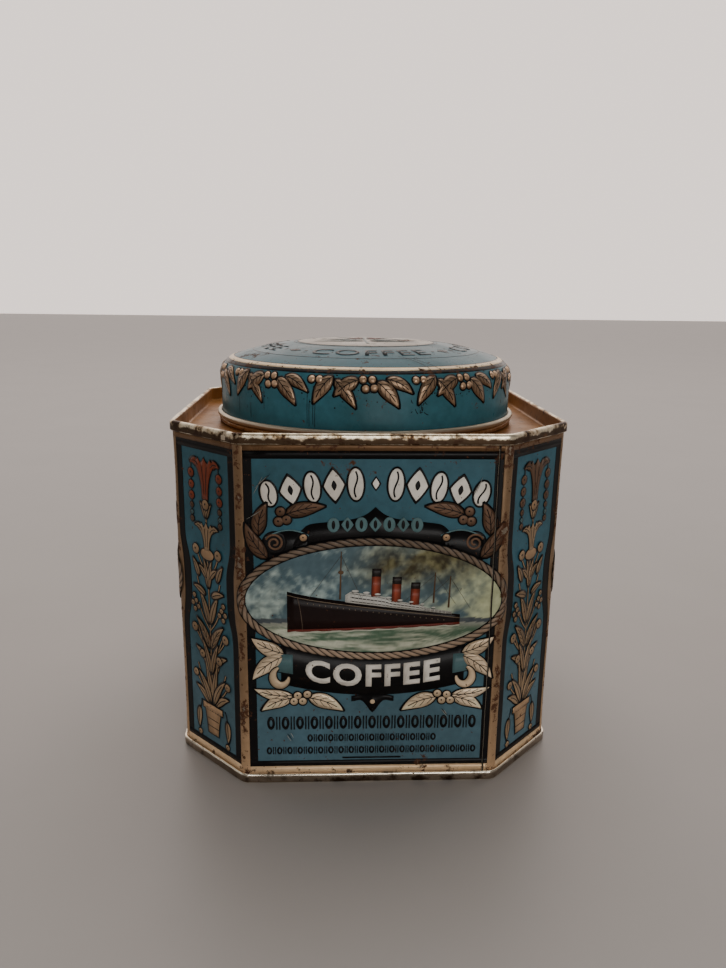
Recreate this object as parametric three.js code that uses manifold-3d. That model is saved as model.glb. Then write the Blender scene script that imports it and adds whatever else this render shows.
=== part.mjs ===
// A lidded tinplate canister for ground coffee: an eight-sided can with a round slip-on lid.
//
// The can is three pieces of tinplate held by two double seams. A printed body sheet is folded
// into an octagon and its two ends are hooked together in a lock seam. The bottom end and the top
// end are stamped octagons whose rims are rolled over the body's flanges, with a bead of sealing
// compound trapped in each seam. The top end has a round mouth. A drawn neck ring stands in it,
// held by a bead above the deck and a flange below it. The lid slips over the neck and rests on
// that bead.
//
// Units are millimetres and +Z is up. The origin is the centre of the footprint, on the surface
// that the tin stands on. The panel with the side seam faces -Y.

import * as THREE from 'three'
import { mergeVertices } from 'three/addons/utils/BufferGeometryUtils.js'
import Module from 'manifold-3d'

const wasm = await Module()
wasm.setup()

// Driving sizes

const acrossFlats = 120 // body, outside, from one broad face to the opposite one
const cornerCut = 21.6 // how far each corner face cuts into both broad faces
const foldRadius = 3 // outside radius of the body's vertical folds
const canHeight = 110 // from the foot to the top of the upper seam

const sheet = 0.28 // tinplate thickness
const layerGap = 0.08 // clearance between neighbouring layers in a seam
const seamHeight = 3.2 // both double seams, top to bottom
const compoundHeight = 0.5 // bead of sealing compound above or below the body's hook

const deckDepth = 5 // from the top of the upper seam down to the deck
const bottomDepth = 3.8 // from the foot up to the underside of the bottom panel
const panelStep = 0.9 // height of the stiffening step stamped in the bottom panel
const panelStepInset = 9 // from the body's outside to that step

const sideSeamFromFold = 3 // from the fold line to the groove of the lock seam
const sideSeamGroove = 0.3 // width of the groove that shows outside
const lockWidth = 4.2 // width of the folded layers behind the groove
const lockEndGap = 0.6 // the lock stops short of the ends by this much

const deckLand = 8.9 // least width of bare deck between the end's wall and the neck's bead
const neckHeight = 14.4 // from the deck to the top of the neck's hem
const neckBeadOut = 1.4 // how far the base bead stands out of the neck
const neckBeadHeight = 1.9 // from the deck to the top of that bead
const throatInset = 1.2 // how far the neck's throat stands inside its wall
const throatFit = 0.3 // clearance between the throat and the deck's round mouth
const neckFlange = 2.2 // width of the flange under the deck
const hemDepth = 1.5 // straight part of the neck's folded top edge
const hemRadius = 0.6 // centre line of that fold

const lidFit = 0.17 // radial clearance between neck and lid
const restGap = 0.05 // lid's curl above the neck's bead, and neck above and below the deck
const curlRadius = 0.8 // centre line of the curl at the foot of the lid's skirt
const curlTurn = 300 // degrees that the curl turns
const skirtHeight = 13.9 // from the foot of the curl to the start of the shoulder
const shoulderRadius = 6 // outside of the lid's shoulder
const shoulderTurn = 68 // degrees that the shoulder turns before the dome begins
const domeRise = 5.8 // from the end of the shoulder to the crown
const domePower = 3.2 // of the dome's curve: 2 is a parabola, and more is flatter at the crown

const foldSteps = 2 // facets in each vertical fold
const roundSteps = 48 // facets round the neck and the lid
const crestSteps = 5 // facets in an end's roll over a seam, an odd number, so that one lies flat
const bendSteps = 4 // facets in every other half turn

// Colours

const goldLacquer = { color: 0xb08a4c, roughness: 0.38, metalness: 0.85 }
const printedTeal = { color: 0x3c7080, roughness: 0.4, metalness: 0.2 }
const bareTin = { color: 0x9a968c, roughness: 0.35, metalness: 0.9 }
const compoundGrey = { color: 0x4a4a46, roughness: 0.8, metalness: 0 }

// Derived places

const wallOut = acrossFlats / 2
const foldCentre = wallOut - foldRadius
const layerPitch = sheet + layerGap
const deckTop = canHeight - deckDepth
const deckUnder = deckTop - sheet
const endWall = wallOut - sheet / 2 - layerPitch // centre line of an end's inner wall
const neckBeadEdge = endWall - sheet / 2 - deckLand
const neckWall = neckBeadEdge - neckBeadOut - sheet / 2 // centre line of the neck
const neckTop = deckTop + neckHeight
const lidWall = neckWall + sheet + lidFit // centre line of the lid's skirt
const throatWall = neckWall - throatInset // centre line of the throat
const mouthRadius = throatWall + sheet / 2 + throatFit
const lidFoot = deckTop + neckBeadHeight + restGap
const shoulderStart = lidFoot + skirtHeight

// Sections are lists of points: x is the distance from the axis, y is the height.

const point = (x, y) => new THREE.Vector2(x, y)

// Points on an arc, in degrees anticlockwise from +x.
function arc(x, y, radius, from, to, steps) {
  return Array.from({ length: steps + 1 }, (_, i) => {
    const angle = THREE.MathUtils.degToRad(from + ((to - from) * i) / steps)
    return point(x + radius * Math.cos(angle), y + radius * Math.sin(angle))
  })
}

// The closed outline of a strip of sheet on its centre line, with mitred bends.
function strip(centre) {
  const side = (sign) =>
    centre.map((here, i) => {
      const before = here.clone().sub(centre[Math.max(i - 1, 0)])
      const after = centre[Math.min(i + 1, centre.length - 1)].clone().sub(here)
      const incoming = (before.lengthSq() > 0 ? before : after).clone().normalize()
      const outgoing = (after.lengthSq() > 0 ? after : before).clone().normalize()
      const normal = point(-incoming.y - outgoing.y, incoming.x + outgoing.x).normalize()
      const mitre = 1 / normal.dot(point(-incoming.y, incoming.x))
      return here.clone().addScaledVector(normal, (sign * mitre * sheet) / 2)
    })
  return [...side(1), ...side(-1).reverse()]
}

// The closed outline of a plate: a strip that starts near the axis, carried in to meet it.
function plate(centre) {
  const outline = strip(centre)
  return [point(0, outline[0].y), ...outline, point(0, outline.at(-1).y)]
}

const closed = (section) => [...section, section[0].clone()]

// Where the rounded octagon turns: each fold's centre, and the directions out of it.
const stations = []
for (let fold = 0; fold < 8; fold++) {
  const broadFirst = fold % 2 === 0
  const turn = Math.floor(fold / 2) * 90
  const edge = wallOut - cornerCut - foldRadius * Math.tan(Math.PI / 8)
  const centre = broadFirst ? point(foldCentre, edge) : point(edge, foldCentre)
  centre.rotateAround(point(0, 0), THREE.MathUtils.degToRad(turn))
  for (let step = 0; step <= foldSteps; step++) {
    const angle = turn + (broadFirst ? 0 : 45) + (45 * step) / foldSteps
    const radians = THREE.MathUtils.degToRad(angle)
    stations.push({ centre, out: point(Math.cos(radians), Math.sin(radians)) })
  }
}

// A section carried round the octagon: a lathe's rings, each moved to its station.
function octagonRing(section) {
  const ring = closed(section)
  const geometry = new THREE.LatheGeometry(ring, stations.length)
  for (let i = 0; i < geometry.attributes.position.count; i++) {
    const { centre, out } = stations[Math.floor(i / ring.length) % stations.length]
    const { x: reach, y: height } = ring[i % ring.length]
    const place = centre.clone().multiplyScalar(Math.min(1, reach / foldCentre))
    place.addScaledVector(out, Math.max(0, reach - foldCentre))
    geometry.attributes.position.setXYZ(i, place.x, place.y, height)
  }
  return geometry
}

// A section turned round the axis, from three.js's +Y up to +Z up.
function round(section) {
  return new THREE.LatheGeometry(closed(section), roundSteps).rotateX(Math.PI / 2)
}

// Solids for joining and cutting

function solid(geometry) {
  const bare = new THREE.BufferGeometry()
  bare.setAttribute('position', geometry.getAttribute('position'))
  bare.setIndex(geometry.index)
  const merged = mergeVertices(bare, 1e-4)
  const mesh = { numProp: 3, vertProperties: merged.attributes.position.array }
  const made = new wasm.Manifold(
    new wasm.Mesh({ ...mesh, triVerts: new Uint32Array(merged.index.array) })
  )
  if (made.volume() > 0) return made
  const turned = new Uint32Array(merged.index.array).reverse()
  return new wasm.Manifold(new wasm.Mesh({ ...mesh, triVerts: turned }))
}

function geometryOf(made) {
  const mesh = made.getMesh()
  const geometry = new THREE.BufferGeometry()
  geometry.setAttribute('position', new THREE.BufferAttribute(mesh.vertProperties, 3))
  geometry.setIndex(new THREE.BufferAttribute(mesh.triVerts, 1))
  return geometry.toNonIndexed()
}

// Upright prism of a plan outline between two heights.
function prism(outline, low, high) {
  const shape = new THREE.Shape(outline)
  const geometry = new THREE.ExtrudeGeometry(shape, { depth: high - low, bevelEnabled: false })
  return solid(geometry.translate(0, 0, low))
}

// Double seam. Outside the body's wall lie the end's hook, the body's hook and the end's outer
// wall, each one layer further out. Lines are written for the top seam, with the height measured
// from its crest, and the bottom seam is the same thing upside down.

const bodyHookLine = wallOut - sheet / 2 + 2 * layerPitch
const endHookLine = wallOut - sheet / 2 + layerPitch
const outerLine = wallOut - sheet / 2 + 3 * layerPitch
const crestRadius = (outerLine - endWall) / 2 // centre line of the end's roll over the seam
const crestRise = crestRadius * Math.cos(Math.PI / 2 / crestSteps) // to the roll's flat facet
const crestCentre = -(crestRise + sheet / 2)
const bodyBendRadius = (bodyHookLine - (wallOut - sheet / 2)) / 2
const hemBendRadius = (outerLine - endHookLine) / 2
const bodyBendCentre = -sheet - layerGap - compoundHeight - sheet / 2 - bodyBendRadius
const hemBendCentre = -seamHeight + hemBendRadius + sheet / 2

// The end's rim, from its inner wall over the crest, down the outside and up inside the hook.
function endRim(foot) {
  return [
    point(endWall, foot),
    ...arc(endWall + crestRadius, crestCentre, crestRadius, 180, 0, crestSteps),
    ...arc(endHookLine + hemBendRadius, hemBendCentre, hemBendRadius, 0, -180, bendSteps),
    point(endHookLine, bodyBendCentre - layerGap),
  ]
}

// The body's flange, from its wall over and down inside the seam.
function bodyHook() {
  const wall = wallOut - sheet / 2
  return [
    ...arc(wall + bodyBendRadius, bodyBendCentre, bodyBendRadius, 180, 0, bendSteps),
    point(bodyHookLine, hemBendCentre + layerGap),
  ]
}

const fromTop = (line) => line.map(({ x, y }) => point(x, canHeight + y))
const fromFoot = (line) => line.map(({ x, y }) => point(x, -y))

// The body sheet: wall and two flanges, with the lock seam that joins its ends.
function bodyShell() {
  const line = [...fromFoot(bodyHook()).reverse(), ...fromTop(bodyHook())]
  const tube = solid(octagonRing(strip(line)))
  const groove = wallOut - cornerCut - sideSeamFromFold
  const slit = new THREE.BoxGeometry(sideSeamGroove, 8 * foldRadius, 2 * canHeight)
  slit.translate(groove + sideSeamGroove / 2, -wallOut, 0)

  // The four layers behind the groove, seen from above; depth 0 is the wall's own layer.
  const depth = (layer) => -wallOut + sheet / 2 + layer * layerPitch
  const left = groove - lockWidth
  const right = groove + sideSeamGroove
  const leftHook = [
    point(left, depth(0)),
    point(groove - sheet / 2, depth(0)),
    point(groove - sheet / 2, depth(2)),
    point(left + 2 * layerPitch, depth(2)),
  ]
  const rightHook = [
    point(right + 2 * sheet, depth(0)),
    point(right + sheet / 2, depth(0)),
    point(right + sheet / 2, depth(3)),
    point(left, depth(3)),
    point(left, depth(1)),
    point(groove - sheet - 2 * layerGap, depth(1)),
  ]
  // The returned leg lies inside the other end's fold, so its root clears the wall's layer.
  const low = bottomDepth + sheet + lockEndGap
  const high = deckUnder - lockEndGap
  return [leftHook, rightHook].reduce(
    (made, hook) => made.add(prism(strip(hook), low, high)),
    tube.subtract(solid(slit))
  )
}

// The bottom end: a panel raised off the foot, with one stamped step, and its rolled rim.
function bottomEnd() {
  const panel = bottomDepth + sheet / 2
  const step = wallOut - panelStepInset
  return solid(
    octagonRing(
      plate([
        point(step / 2, panel + panelStep),
        point(step - panelStep, panel + panelStep),
        point(step, panel),
        ...fromFoot(endRim(-panel)),
      ])
    )
  )
}

// The top end: the sunk deck with its round mouth, and its rolled rim.
function topEnd() {
  const level = deckTop - sheet / 2
  const centre = [point(neckWall / 2, level), ...fromTop(endRim(level - canHeight))]
  const mouth = new THREE.CylinderGeometry(mouthRadius, mouthRadius, 4 * sheet, roundSteps)
  mouth.rotateX(Math.PI / 2).translate(0, 0, level)
  return solid(octagonRing(plate(centre))).subtract(solid(mouth))
}

// The neck ring: hemmed top edge, wall, base bead, throat and the flange under the deck.
function neckRing() {
  const hemTop = neckTop - sheet / 2 - hemRadius
  const beadLow = deckTop + restGap + sheet / 2
  const beadHigh = deckTop + neckBeadHeight - sheet / 2
  const beadRadius = (beadHigh - beadLow) / 2
  const beadCentre = neckBeadEdge - sheet / 2 - beadRadius
  const flangeLine = deckUnder - restGap - sheet / 2
  return round(
    strip([
      point(neckWall - 2 * hemRadius, hemTop - hemDepth),
      ...arc(neckWall - hemRadius, hemTop, hemRadius, 180, 0, bendSteps),
      point(neckWall, beadHigh),
      ...arc(beadCentre, beadLow + beadRadius, beadRadius, 90, -90, bendSteps),
      point(throatWall, beadLow),
      point(throatWall, flangeLine),
      point(throatWall + neckFlange, flangeLine),
    ])
  )
}

// The lid: domed crown, rounded shoulder, skirt, and the curl that stiffens its edge.
function lidShell() {
  const shoulder = shoulderRadius - sheet / 2
  const shoulderLine = arc(lidWall - shoulder, shoulderStart, shoulder, shoulderTurn, 0, 4)
  const brow = shoulderLine[0]
  const dome = [0.25, 0.45, 0.65, 0.84].map((share) =>
    point(brow.x * share, brow.y + domeRise * (1 - share ** domePower))
  )
  const curlCentre = lidFoot + curlRadius + sheet / 2
  const curl = arc(lidWall + curlRadius, curlCentre, curlRadius, 180, 180 + curlTurn, 8)
  return round(plate([...dome, ...shoulderLine, ...curl]))
}

// The sealing compound: a ring trapped between the body's flange and the end's roll.
function compound(place) {
  const middle = endWall + crestRadius
  const roof = -sheet - layerGap / 2
  return octagonRing(
    place([
      point(middle - compoundHeight / 2, roof - compoundHeight),
      point(middle + compoundHeight / 2, roof - compoundHeight),
      point(middle + compoundHeight / 4, roof),
      point(middle - compoundHeight / 4, roof),
    ])
  )
}

// The tin

function named(name, geometry, look) {
  const mesh = new THREE.Mesh(geometry, new THREE.MeshStandardMaterial(look))
  mesh.name = name
  return mesh
}

const can = new THREE.Group()
can.add(
  named('body_sheet', geometryOf(bodyShell()), printedTeal),
  named('bottom_end', geometryOf(bottomEnd()), bareTin),
  named('top_end', geometryOf(topEnd()), goldLacquer),
  named('neck_ring', geometryOf(solid(neckRing())), goldLacquer),
  named('top_seam_compound', geometryOf(solid(compound(fromTop))), compoundGrey),
  named('bottom_seam_compound', geometryOf(solid(compound(fromFoot))), compoundGrey)
)

const lid = new THREE.Group()
lid.add(named('lid', geometryOf(solid(lidShell())), printedTeal))

const tin = new THREE.Group()
tin.add(can, lid)

export default tin
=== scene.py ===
# A lidded coffee canister of printed tinplate: an eight-sided can with a round slip-on lid.
# Sizes are in millimetres until a mesh is made, and the meshes are in metres in the CAD frame.
# Along the can, s runs round the body sheet from the middle of the front face, towards +X.
import math

import bmesh
import bpy
import numpy as np
from mathutils import Matrix, Vector


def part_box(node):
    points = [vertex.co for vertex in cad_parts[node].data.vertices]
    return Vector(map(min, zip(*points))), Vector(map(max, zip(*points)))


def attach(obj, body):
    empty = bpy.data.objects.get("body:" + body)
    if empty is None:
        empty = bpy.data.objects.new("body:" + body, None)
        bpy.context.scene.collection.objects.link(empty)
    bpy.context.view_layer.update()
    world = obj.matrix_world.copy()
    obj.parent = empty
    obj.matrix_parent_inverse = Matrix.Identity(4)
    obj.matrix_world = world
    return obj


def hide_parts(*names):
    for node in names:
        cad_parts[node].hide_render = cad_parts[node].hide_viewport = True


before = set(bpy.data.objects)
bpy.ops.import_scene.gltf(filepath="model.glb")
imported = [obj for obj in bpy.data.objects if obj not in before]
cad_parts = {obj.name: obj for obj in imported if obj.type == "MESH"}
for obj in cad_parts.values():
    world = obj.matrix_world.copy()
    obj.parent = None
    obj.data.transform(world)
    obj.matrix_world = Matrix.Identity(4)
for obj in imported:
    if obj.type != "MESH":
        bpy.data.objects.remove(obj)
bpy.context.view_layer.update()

mm = 0.001

# Camera, floor and light
#
# A hand-held view from in front and a little above, on a plain pale floor. The light is soft
# studio light: a large lamp overhead, one low in front, and a weak one on the left.

eye = (-0.0127, -0.2709, 0.1488)
swing, look_down, roll = -0.0455, 0.2474, 0.0126
scene = bpy.context.scene
camera = bpy.data.objects.new("camera", bpy.data.cameras.new("camera"))
scene.collection.objects.link(camera)
scene.camera = camera
camera.data.lens = 28.7
camera.data.sensor_width = 36.0
camera.data.clip_start = 0.01
camera.matrix_world = (
    Matrix.Translation(eye)
    @ Matrix.Rotation(swing, 4, "Z")
    @ Matrix.Rotation(math.radians(90) - look_down, 4, "X")
    @ Matrix.Rotation(roll, 4, "Z")
)


def add_node(tree, kind, settings={}, **inputs):
    """Adds a node; an input is a socket to link from, or a constant for the socket of that name."""
    made = tree.nodes.new(kind)
    for key, value in settings.items():
        setattr(made, key, value)
    for key, value in inputs.items():
        socket = made.inputs[int(key[1:])] if key[0] == "_" else made.inputs[key.replace("_", " ")]
        if isinstance(value, bpy.types.NodeSocket):
            tree.links.new(value, socket)
        else:
            socket.default_value = value
    return made


def noise(tree, scale, detail=4.0, roughness=0.55, vector=None):
    """The Fac of a noise texture on object coordinates, or on the vector given."""
    if vector is None:
        vector = add_node(tree, "ShaderNodeTexCoord").outputs["Object"]
    made = add_node(
        tree, "ShaderNodeTexNoise", Vector=vector, Scale=scale, Detail=detail, Roughness=roughness
    )
    return made.outputs["Fac"]


def between(tree, value, low, high, to_low=0.0, to_high=1.0):
    """A value mapped from one range to another and held at its ends."""
    made = add_node(tree, "ShaderNodeMapRange", _0=value, _1=low, _2=high, _3=to_low, _4=to_high)
    return made.outputs[0]


def blend_colour(tree, factor, first, second, mode="MIX"):
    """The second colour laid over the first one by a factor."""
    settings = {"data_type": "RGBA", "blend_type": mode}
    made = add_node(tree, "ShaderNodeMix", settings, _0=factor, _6=first, _7=second)
    return made.outputs[2]


def maths(tree, operation, first, second):
    """One sum, difference, product or maximum of two values."""
    made = add_node(tree, "ShaderNodeMath", {"operation": operation}, _0=first, _1=second)
    return made.outputs[0]


def plus(tree, first, second):
    """The sum of two values."""
    return maths(tree, "ADD", first, second)


def minus(tree, first, second):
    """The first value less the second."""
    return maths(tree, "SUBTRACT", first, second)


def times(tree, first, second):
    """The product of two values."""
    return maths(tree, "MULTIPLY", first, second)


def larger(tree, first, second):
    """The larger of two values."""
    return maths(tree, "MAXIMUM", first, second)


def painted(tree, name, output="Fac"):
    """A value or a colour that the points of the mesh carry under a name."""
    return add_node(tree, "ShaderNodeAttribute", {"attribute_name": name}).outputs[output]


def roughen(tree, shader, strength, distance, height):
    """Fine relief on a finish: a bump of a strength and a depth in metres from a height value."""
    relief = add_node(tree, "ShaderNodeBump", Strength=strength, Distance=distance, Height=height)
    tree.links.new(relief.outputs[0], shader.inputs["Normal"])


def new_finish(name, **uniform):
    """A material with one Principled shader, and the values that are the same all over it."""
    finish = bpy.data.materials.new(name)
    finish.use_nodes = True
    shader = finish.node_tree.nodes["Principled BSDF"]
    for key, value in uniform.items():
        shader.inputs[key.replace("_", " ")].default_value = value
    return finish, finish.node_tree, shader


floor_finish, tree, shader = new_finish("floor_finish", Roughness=0.42)
floor_dark, floor_pale = (0.40, 0.372, 0.350, 1), (0.45, 0.420, 0.397, 1)
grain = blend_colour(tree, noise(tree, 14.0, 6.0), floor_dark, floor_pale)
tree.links.new(grain, shader.inputs["Base Color"])
floor_mesh = bpy.data.meshes.new("floor")
floor_mesh.from_pydata([(-4, -4, 0), (4, -4, 0), (4, 4, 0), (-4, 4, 0)], [], [(0, 1, 2, 3)])
floor_mesh.materials.append(floor_finish)
floor = bpy.data.objects.new("floor", floor_mesh)
scene.collection.objects.link(floor)

world = bpy.data.worlds.new("studio")
scene.world = world
world.use_nodes = True


def soft_light(name, place, aim, size, power):
    """A square area light at a place, turned to face the point it is aimed at."""
    lamp = bpy.data.objects.new(name, bpy.data.lights.new(name, "AREA"))
    lamp.data.size = size
    lamp.data.energy = power
    lamp.data.color = (1.0, 0.97, 0.94)
    lamp.location = place
    lamp.rotation_mode = "QUATERNION"
    lamp.rotation_quaternion = (Vector(aim) - Vector(place)).to_track_quat("-Z", "Y")
    scene.collection.objects.link(lamp)


soft_light("top_light", (0.1, 0.45, 1.5), (0, 0, 0.1), 1.3, 9.0)
soft_light("front_light", (0.25, -1.0, 0.14), (0, 0, 0.03), 0.6, 5.2)
soft_light("left_light", (-1.5, -0.4, 0.6), (0, 0, 0.06), 0.9, 1.3)

# The room is pale behind the tin and darker behind the viewer.
tree = world.node_tree
toward = add_node(tree, "ShaderNodeTexCoord").outputs["Generated"]
depth = add_node(tree, "ShaderNodeSeparateXYZ", Vector=toward).outputs["Y"]
room_dark, room_pale = (0.12, 0.113, 0.108, 1), (1.50, 1.32, 1.22, 1)
room = blend_colour(tree, between(tree, depth, 0.1, 0.85), room_dark, room_pale)
tree.links.new(room, tree.nodes["Background"].inputs["Color"])

# Bottom end
#
# A stamped octagon of bare tinplate. Its panel stands clear of the table on the rolled double
# seam, where its edge is folded under the body's flange and pressed flat.

sheet = 0.28
layer_gap = 0.08
layer_pitch = sheet + layer_gap
seam_height = 3.2
wall_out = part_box("body_sheet")[1].x / mm - 2 * layer_pitch
corner_cut = 21.6
fold_radius = 3.0
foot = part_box("bottom_end")[0].z / mm
rim_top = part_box("top_end")[1].z / mm

fold_trim = fold_radius * math.tan(math.pi / 8)
broad_flat = 2 * (wall_out - corner_cut) - 2 * fold_trim
corner_flat = corner_cut * math.sqrt(2) - 2 * fold_trim
fold_arc = fold_radius * math.pi / 4
face_pitch = broad_flat + corner_flat + 2 * fold_arc

# Where each flat and each fold begins: its s, the way it faces, and the fold centre behind it.
run_length = np.tile([broad_flat, fold_arc, corner_flat, fold_arc], 4)
run_turn = np.tile([0.0, math.pi / 4, 0.0, math.pi / 4], 4)
run_travel = np.tile([broad_flat, 0.0, corner_flat, 0.0], 4)
run_start = np.concatenate([[0.0], np.cumsum(run_length)]) - broad_flat / 2
run_facing = np.concatenate([[0.0], np.cumsum(run_turn)])
run_x = np.concatenate([[0.0], np.cumsum(run_travel * np.cos(run_facing[:-1]))]) - broad_flat / 2
run_y = np.concatenate([[0.0], np.cumsum(run_travel * np.sin(run_facing[:-1]))])
run_y = run_y - (wall_out - fold_radius)


def round_can(s, out, z):
    """Points at distance out from the body's outer face: the fold centre's path at s, plus its
    facing direction times the fold radius and out. Inside the fold centres the path shrinks."""
    s, out, z = np.broadcast_arrays(s, out, z)
    around = np.mod(s - run_start[0], run_start[-1] - run_start[0]) + run_start[0]
    facing = np.interp(around, run_start, run_facing)
    beyond = np.maximum(fold_radius + out, 0.0)
    shrink = np.clip((wall_out + out) / (wall_out - fold_radius), 0.0, 1.0)
    x = np.interp(around, run_start, run_x) * shrink + np.sin(facing) * beyond
    y = np.interp(around, run_start, run_y) * shrink - np.cos(facing) * beyond
    return np.stack([x, y, z], axis=-1)


def columns(on_flat, on_fold):
    """The s of every column round the can: even steps on each flat and finer ones on each fold."""
    steps = np.tile([on_flat, on_fold], 8)
    return np.concatenate(
        [np.linspace(a, b, n, endpoint=False) for a, b, n in zip(run_start[:-1], run_start[1:], steps)]
    )


def near_fold(s, reach):
    """1 on a fold, falling to 0 at the given distance along the sheet from it."""
    middles = (run_start[1::2] + run_start[2::2]) / 2
    around = np.mod(np.asarray(s)[..., None] - middles + face_pitch, 4 * face_pitch)
    away = np.minimum(np.abs(around - face_pitch), np.abs(around - face_pitch - 4 * face_pitch))
    return np.clip(1 - np.min(away, axis=-1) / reach, 0.0, 1.0)


def bend(x, y, radius, start, stop, steps):
    """Points along an arc about (x, y), from one angle in degrees to another."""
    angle = np.radians(np.linspace(start, stop, steps + 1))
    return np.stack([x + radius * np.cos(angle), y + radius * np.sin(angle)], axis=1)


def strip_sides(line):
    """The outline of a strip of sheet: its centre line moved half a thickness to each side, along
    the mean of the two neighbouring normals, lengthened at a bend so that the walls stay even."""
    line = line[np.concatenate([[True], np.linalg.norm(np.diff(line, axis=0), axis=1) > 1e-6])]
    step = np.diff(line, axis=0)
    step /= np.linalg.norm(step, axis=1)[:, None]
    before = np.vstack([step[:1], step])
    after = np.vstack([step, step[-1:]])
    normal = np.stack([-(before + after)[:, 1], (before + after)[:, 0]], axis=1)
    normal /= np.linalg.norm(normal, axis=1)[:, None]
    mitre = 1 / np.sum(normal * np.stack([-before[:, 1], before[:, 0]], axis=1), axis=1)
    offset = normal * mitre[:, None] * sheet / 2
    return line + offset, line - offset


def grid_faces(rows, across, wrap_rows=False, wrap_across=False):
    """The quads of a grid of points, with either direction joined back to its start."""
    index = np.arange(rows * across).reshape(rows, across)
    if wrap_rows:
        index = np.vstack([index, index[:1]])
    if wrap_across:
        index = np.hstack([index, index[:, :1]])
    quads = [index[:-1, :-1], index[1:, :-1], index[1:, 1:], index[:-1, 1:]]
    return np.stack(quads, axis=-1).reshape(-1, 4)


def make_piece(name, points, faces, finishes, body, paints={}, finish_of=None, sharp=35, poles=False):
    """A mesh object from points in millimetres and its faces. Each paint is a named value on its
    points. Poles merges points that coincide and turns the faces outwards again."""
    mesh = bpy.data.meshes.new(name)
    points = np.asarray(points, dtype=np.float64).reshape(-1, 3)
    mesh.vertices.add(len(points))
    mesh.vertices.foreach_set("co", (points * mm).astype(np.float32).ravel())
    mesh.loops.add(faces.size)
    mesh.loops.foreach_set("vertex_index", faces.astype(np.int32).ravel())
    mesh.polygons.add(len(faces))
    sides = faces.shape[1]
    mesh.polygons.foreach_set("loop_start", np.arange(0, faces.size, sides, dtype=np.int32))
    if finish_of is not None:
        mesh.polygons.foreach_set("material_index", finish_of.astype(np.int32))
    mesh.update(calc_edges=True)
    for key, values in paints.items():
        values = np.asarray(values, dtype=np.float32)
        if values.ndim == 2:
            attribute = mesh.attributes.new(key, "FLOAT_COLOR", "POINT")
            whole = np.concatenate([values, np.ones((len(values), 1), np.float32)], axis=1)
            attribute.data.foreach_set("color", whole.ravel())
        else:
            mesh.attributes.new(key, "FLOAT", "POINT").data.foreach_set("value", values)
    if poles:
        shape = bmesh.new()
        shape.from_mesh(mesh)
        bmesh.ops.remove_doubles(shape, verts=shape.verts, dist=1e-7)
        bmesh.ops.recalc_face_normals(shape, faces=shape.faces)
        shape.to_mesh(mesh)
        shape.free()
    mesh.polygons.foreach_set("use_smooth", np.ones(len(mesh.polygons), dtype=bool))
    mesh.set_sharp_from_angle(angle=math.radians(sharp))
    for finish in finishes:
        mesh.materials.append(finish)
    piece = bpy.data.objects.new(name, mesh)
    scene.collection.objects.link(piece)
    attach(piece, body)
    return piece


wall_line = wall_out - sheet / 2
end_line = wall_line - layer_pitch
outer_line = wall_line + 3 * layer_pitch
crest_radius = (outer_line - end_line) / 2


def end_rim(start):
    """An end's edge as (x, height from its crest): up its wall, over the crest in a half circle,
    down the outside, and up again inside the body's hook."""
    hem_low = -seam_height + layer_pitch + sheet / 2
    return np.vstack(
        [
            [[end_line, start]],
            bend(end_line + crest_radius, -crest_radius - sheet / 2, crest_radius, 180, 0, 14),
            bend(outer_line - layer_pitch, hem_low, layer_pitch, 0, -180, 10),
            [[outer_line - 2 * layer_pitch, -1.5]],
        ]
    )


def knocks(s, seed, count, depth):
    """Small dents along an edge: a sum of narrow bells at random places, each up to depth deep."""
    dice = np.random.default_rng(seed)
    place = dice.uniform(run_start[0], run_start[-1], count)
    width = dice.uniform(0.6, 2.6, count)
    size = dice.uniform(0.2, 1.0, count) * depth
    return np.sum(size * np.exp(-(((np.asarray(s)[..., None] - place) / width) ** 2)), axis=-1)


def sweep_plate(line, around, squash):
    """A plate's outline carried round the can: both sides of its strip from the axis to the rim
    and back. Where squash is above 0 the rolled edge is pressed towards the seam's middle."""
    upper, lower = strip_sides(line)
    outline = np.vstack([[[0, upper[0, 1]]], upper, lower[::-1], [[0, lower[0, 1]]]])
    reach = outline[None, :, 0] - wall_out
    edge = np.clip((outline[None, :, 0] - end_line + 0.3) / 0.5, 0, 1)
    points = round_can(around[:, None], reach - 0.5 * squash[:, None] * edge, outline[None, :, 1])
    return points, grid_faces(len(around), len(outline), wrap_rows=True), edge


tin_finish, tree, shader = new_finish("bare_tin", Metallic=0.96)
along = add_node(
    tree,
    "ShaderNodeMapping",
    Vector=add_node(tree, "ShaderNodeTexCoord").outputs["Object"],
    Scale=(1, 1, 5),
)
grey_tin, dull_tin = (0.46, 0.375, 0.285, 1), (0.18, 0.130, 0.092, 1)
bright_tin = (0.95, 0.86, 0.70, 1)
brown_stain, rust_pit = (0.060, 0.034, 0.018, 1), (0.05, 0.03, 0.02, 1)
streak = noise(tree, 55.0, 8.0, 0.62, along.outputs[0])
blotch = noise(tree, 170.0, 7.0, 0.6)
wear_and_sheen = painted(tree, "wear_and_sheen")
tone = blend_colour(tree, between(tree, streak, 0.3, 0.7), grey_tin, dull_tin)
# Along the seam's lit edges the tin is painted near white: a painted highlight, blended with random
# blotches.
bright = between(tree, plus(tree, wear_and_sheen, minus(tree, blotch, 0.5)), 0.42, 0.62)
tone = blend_colour(tree, bright, tone, bright_tin)
stain = between(tree, minus(tree, blotch, times(tree, wear_and_sheen, 0.06)), 0.50, 0.62)
tone = blend_colour(tree, stain, tone, brown_stain)
pit = between(tree, noise(tree, 620.0, 4.0), 0.66, 0.7)
tree.links.new(blend_colour(tree, pit, tone, rust_pit), shader.inputs["Base Color"])
tree.links.new(between(tree, streak, 0.3, 0.75, 0.12, 0.30), shader.inputs["Roughness"])
roughen(tree, shader, 0.35, 0.00012, minus(tree, times(tree, streak, 0.6), times(tree, pit, 0.5)))

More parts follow.
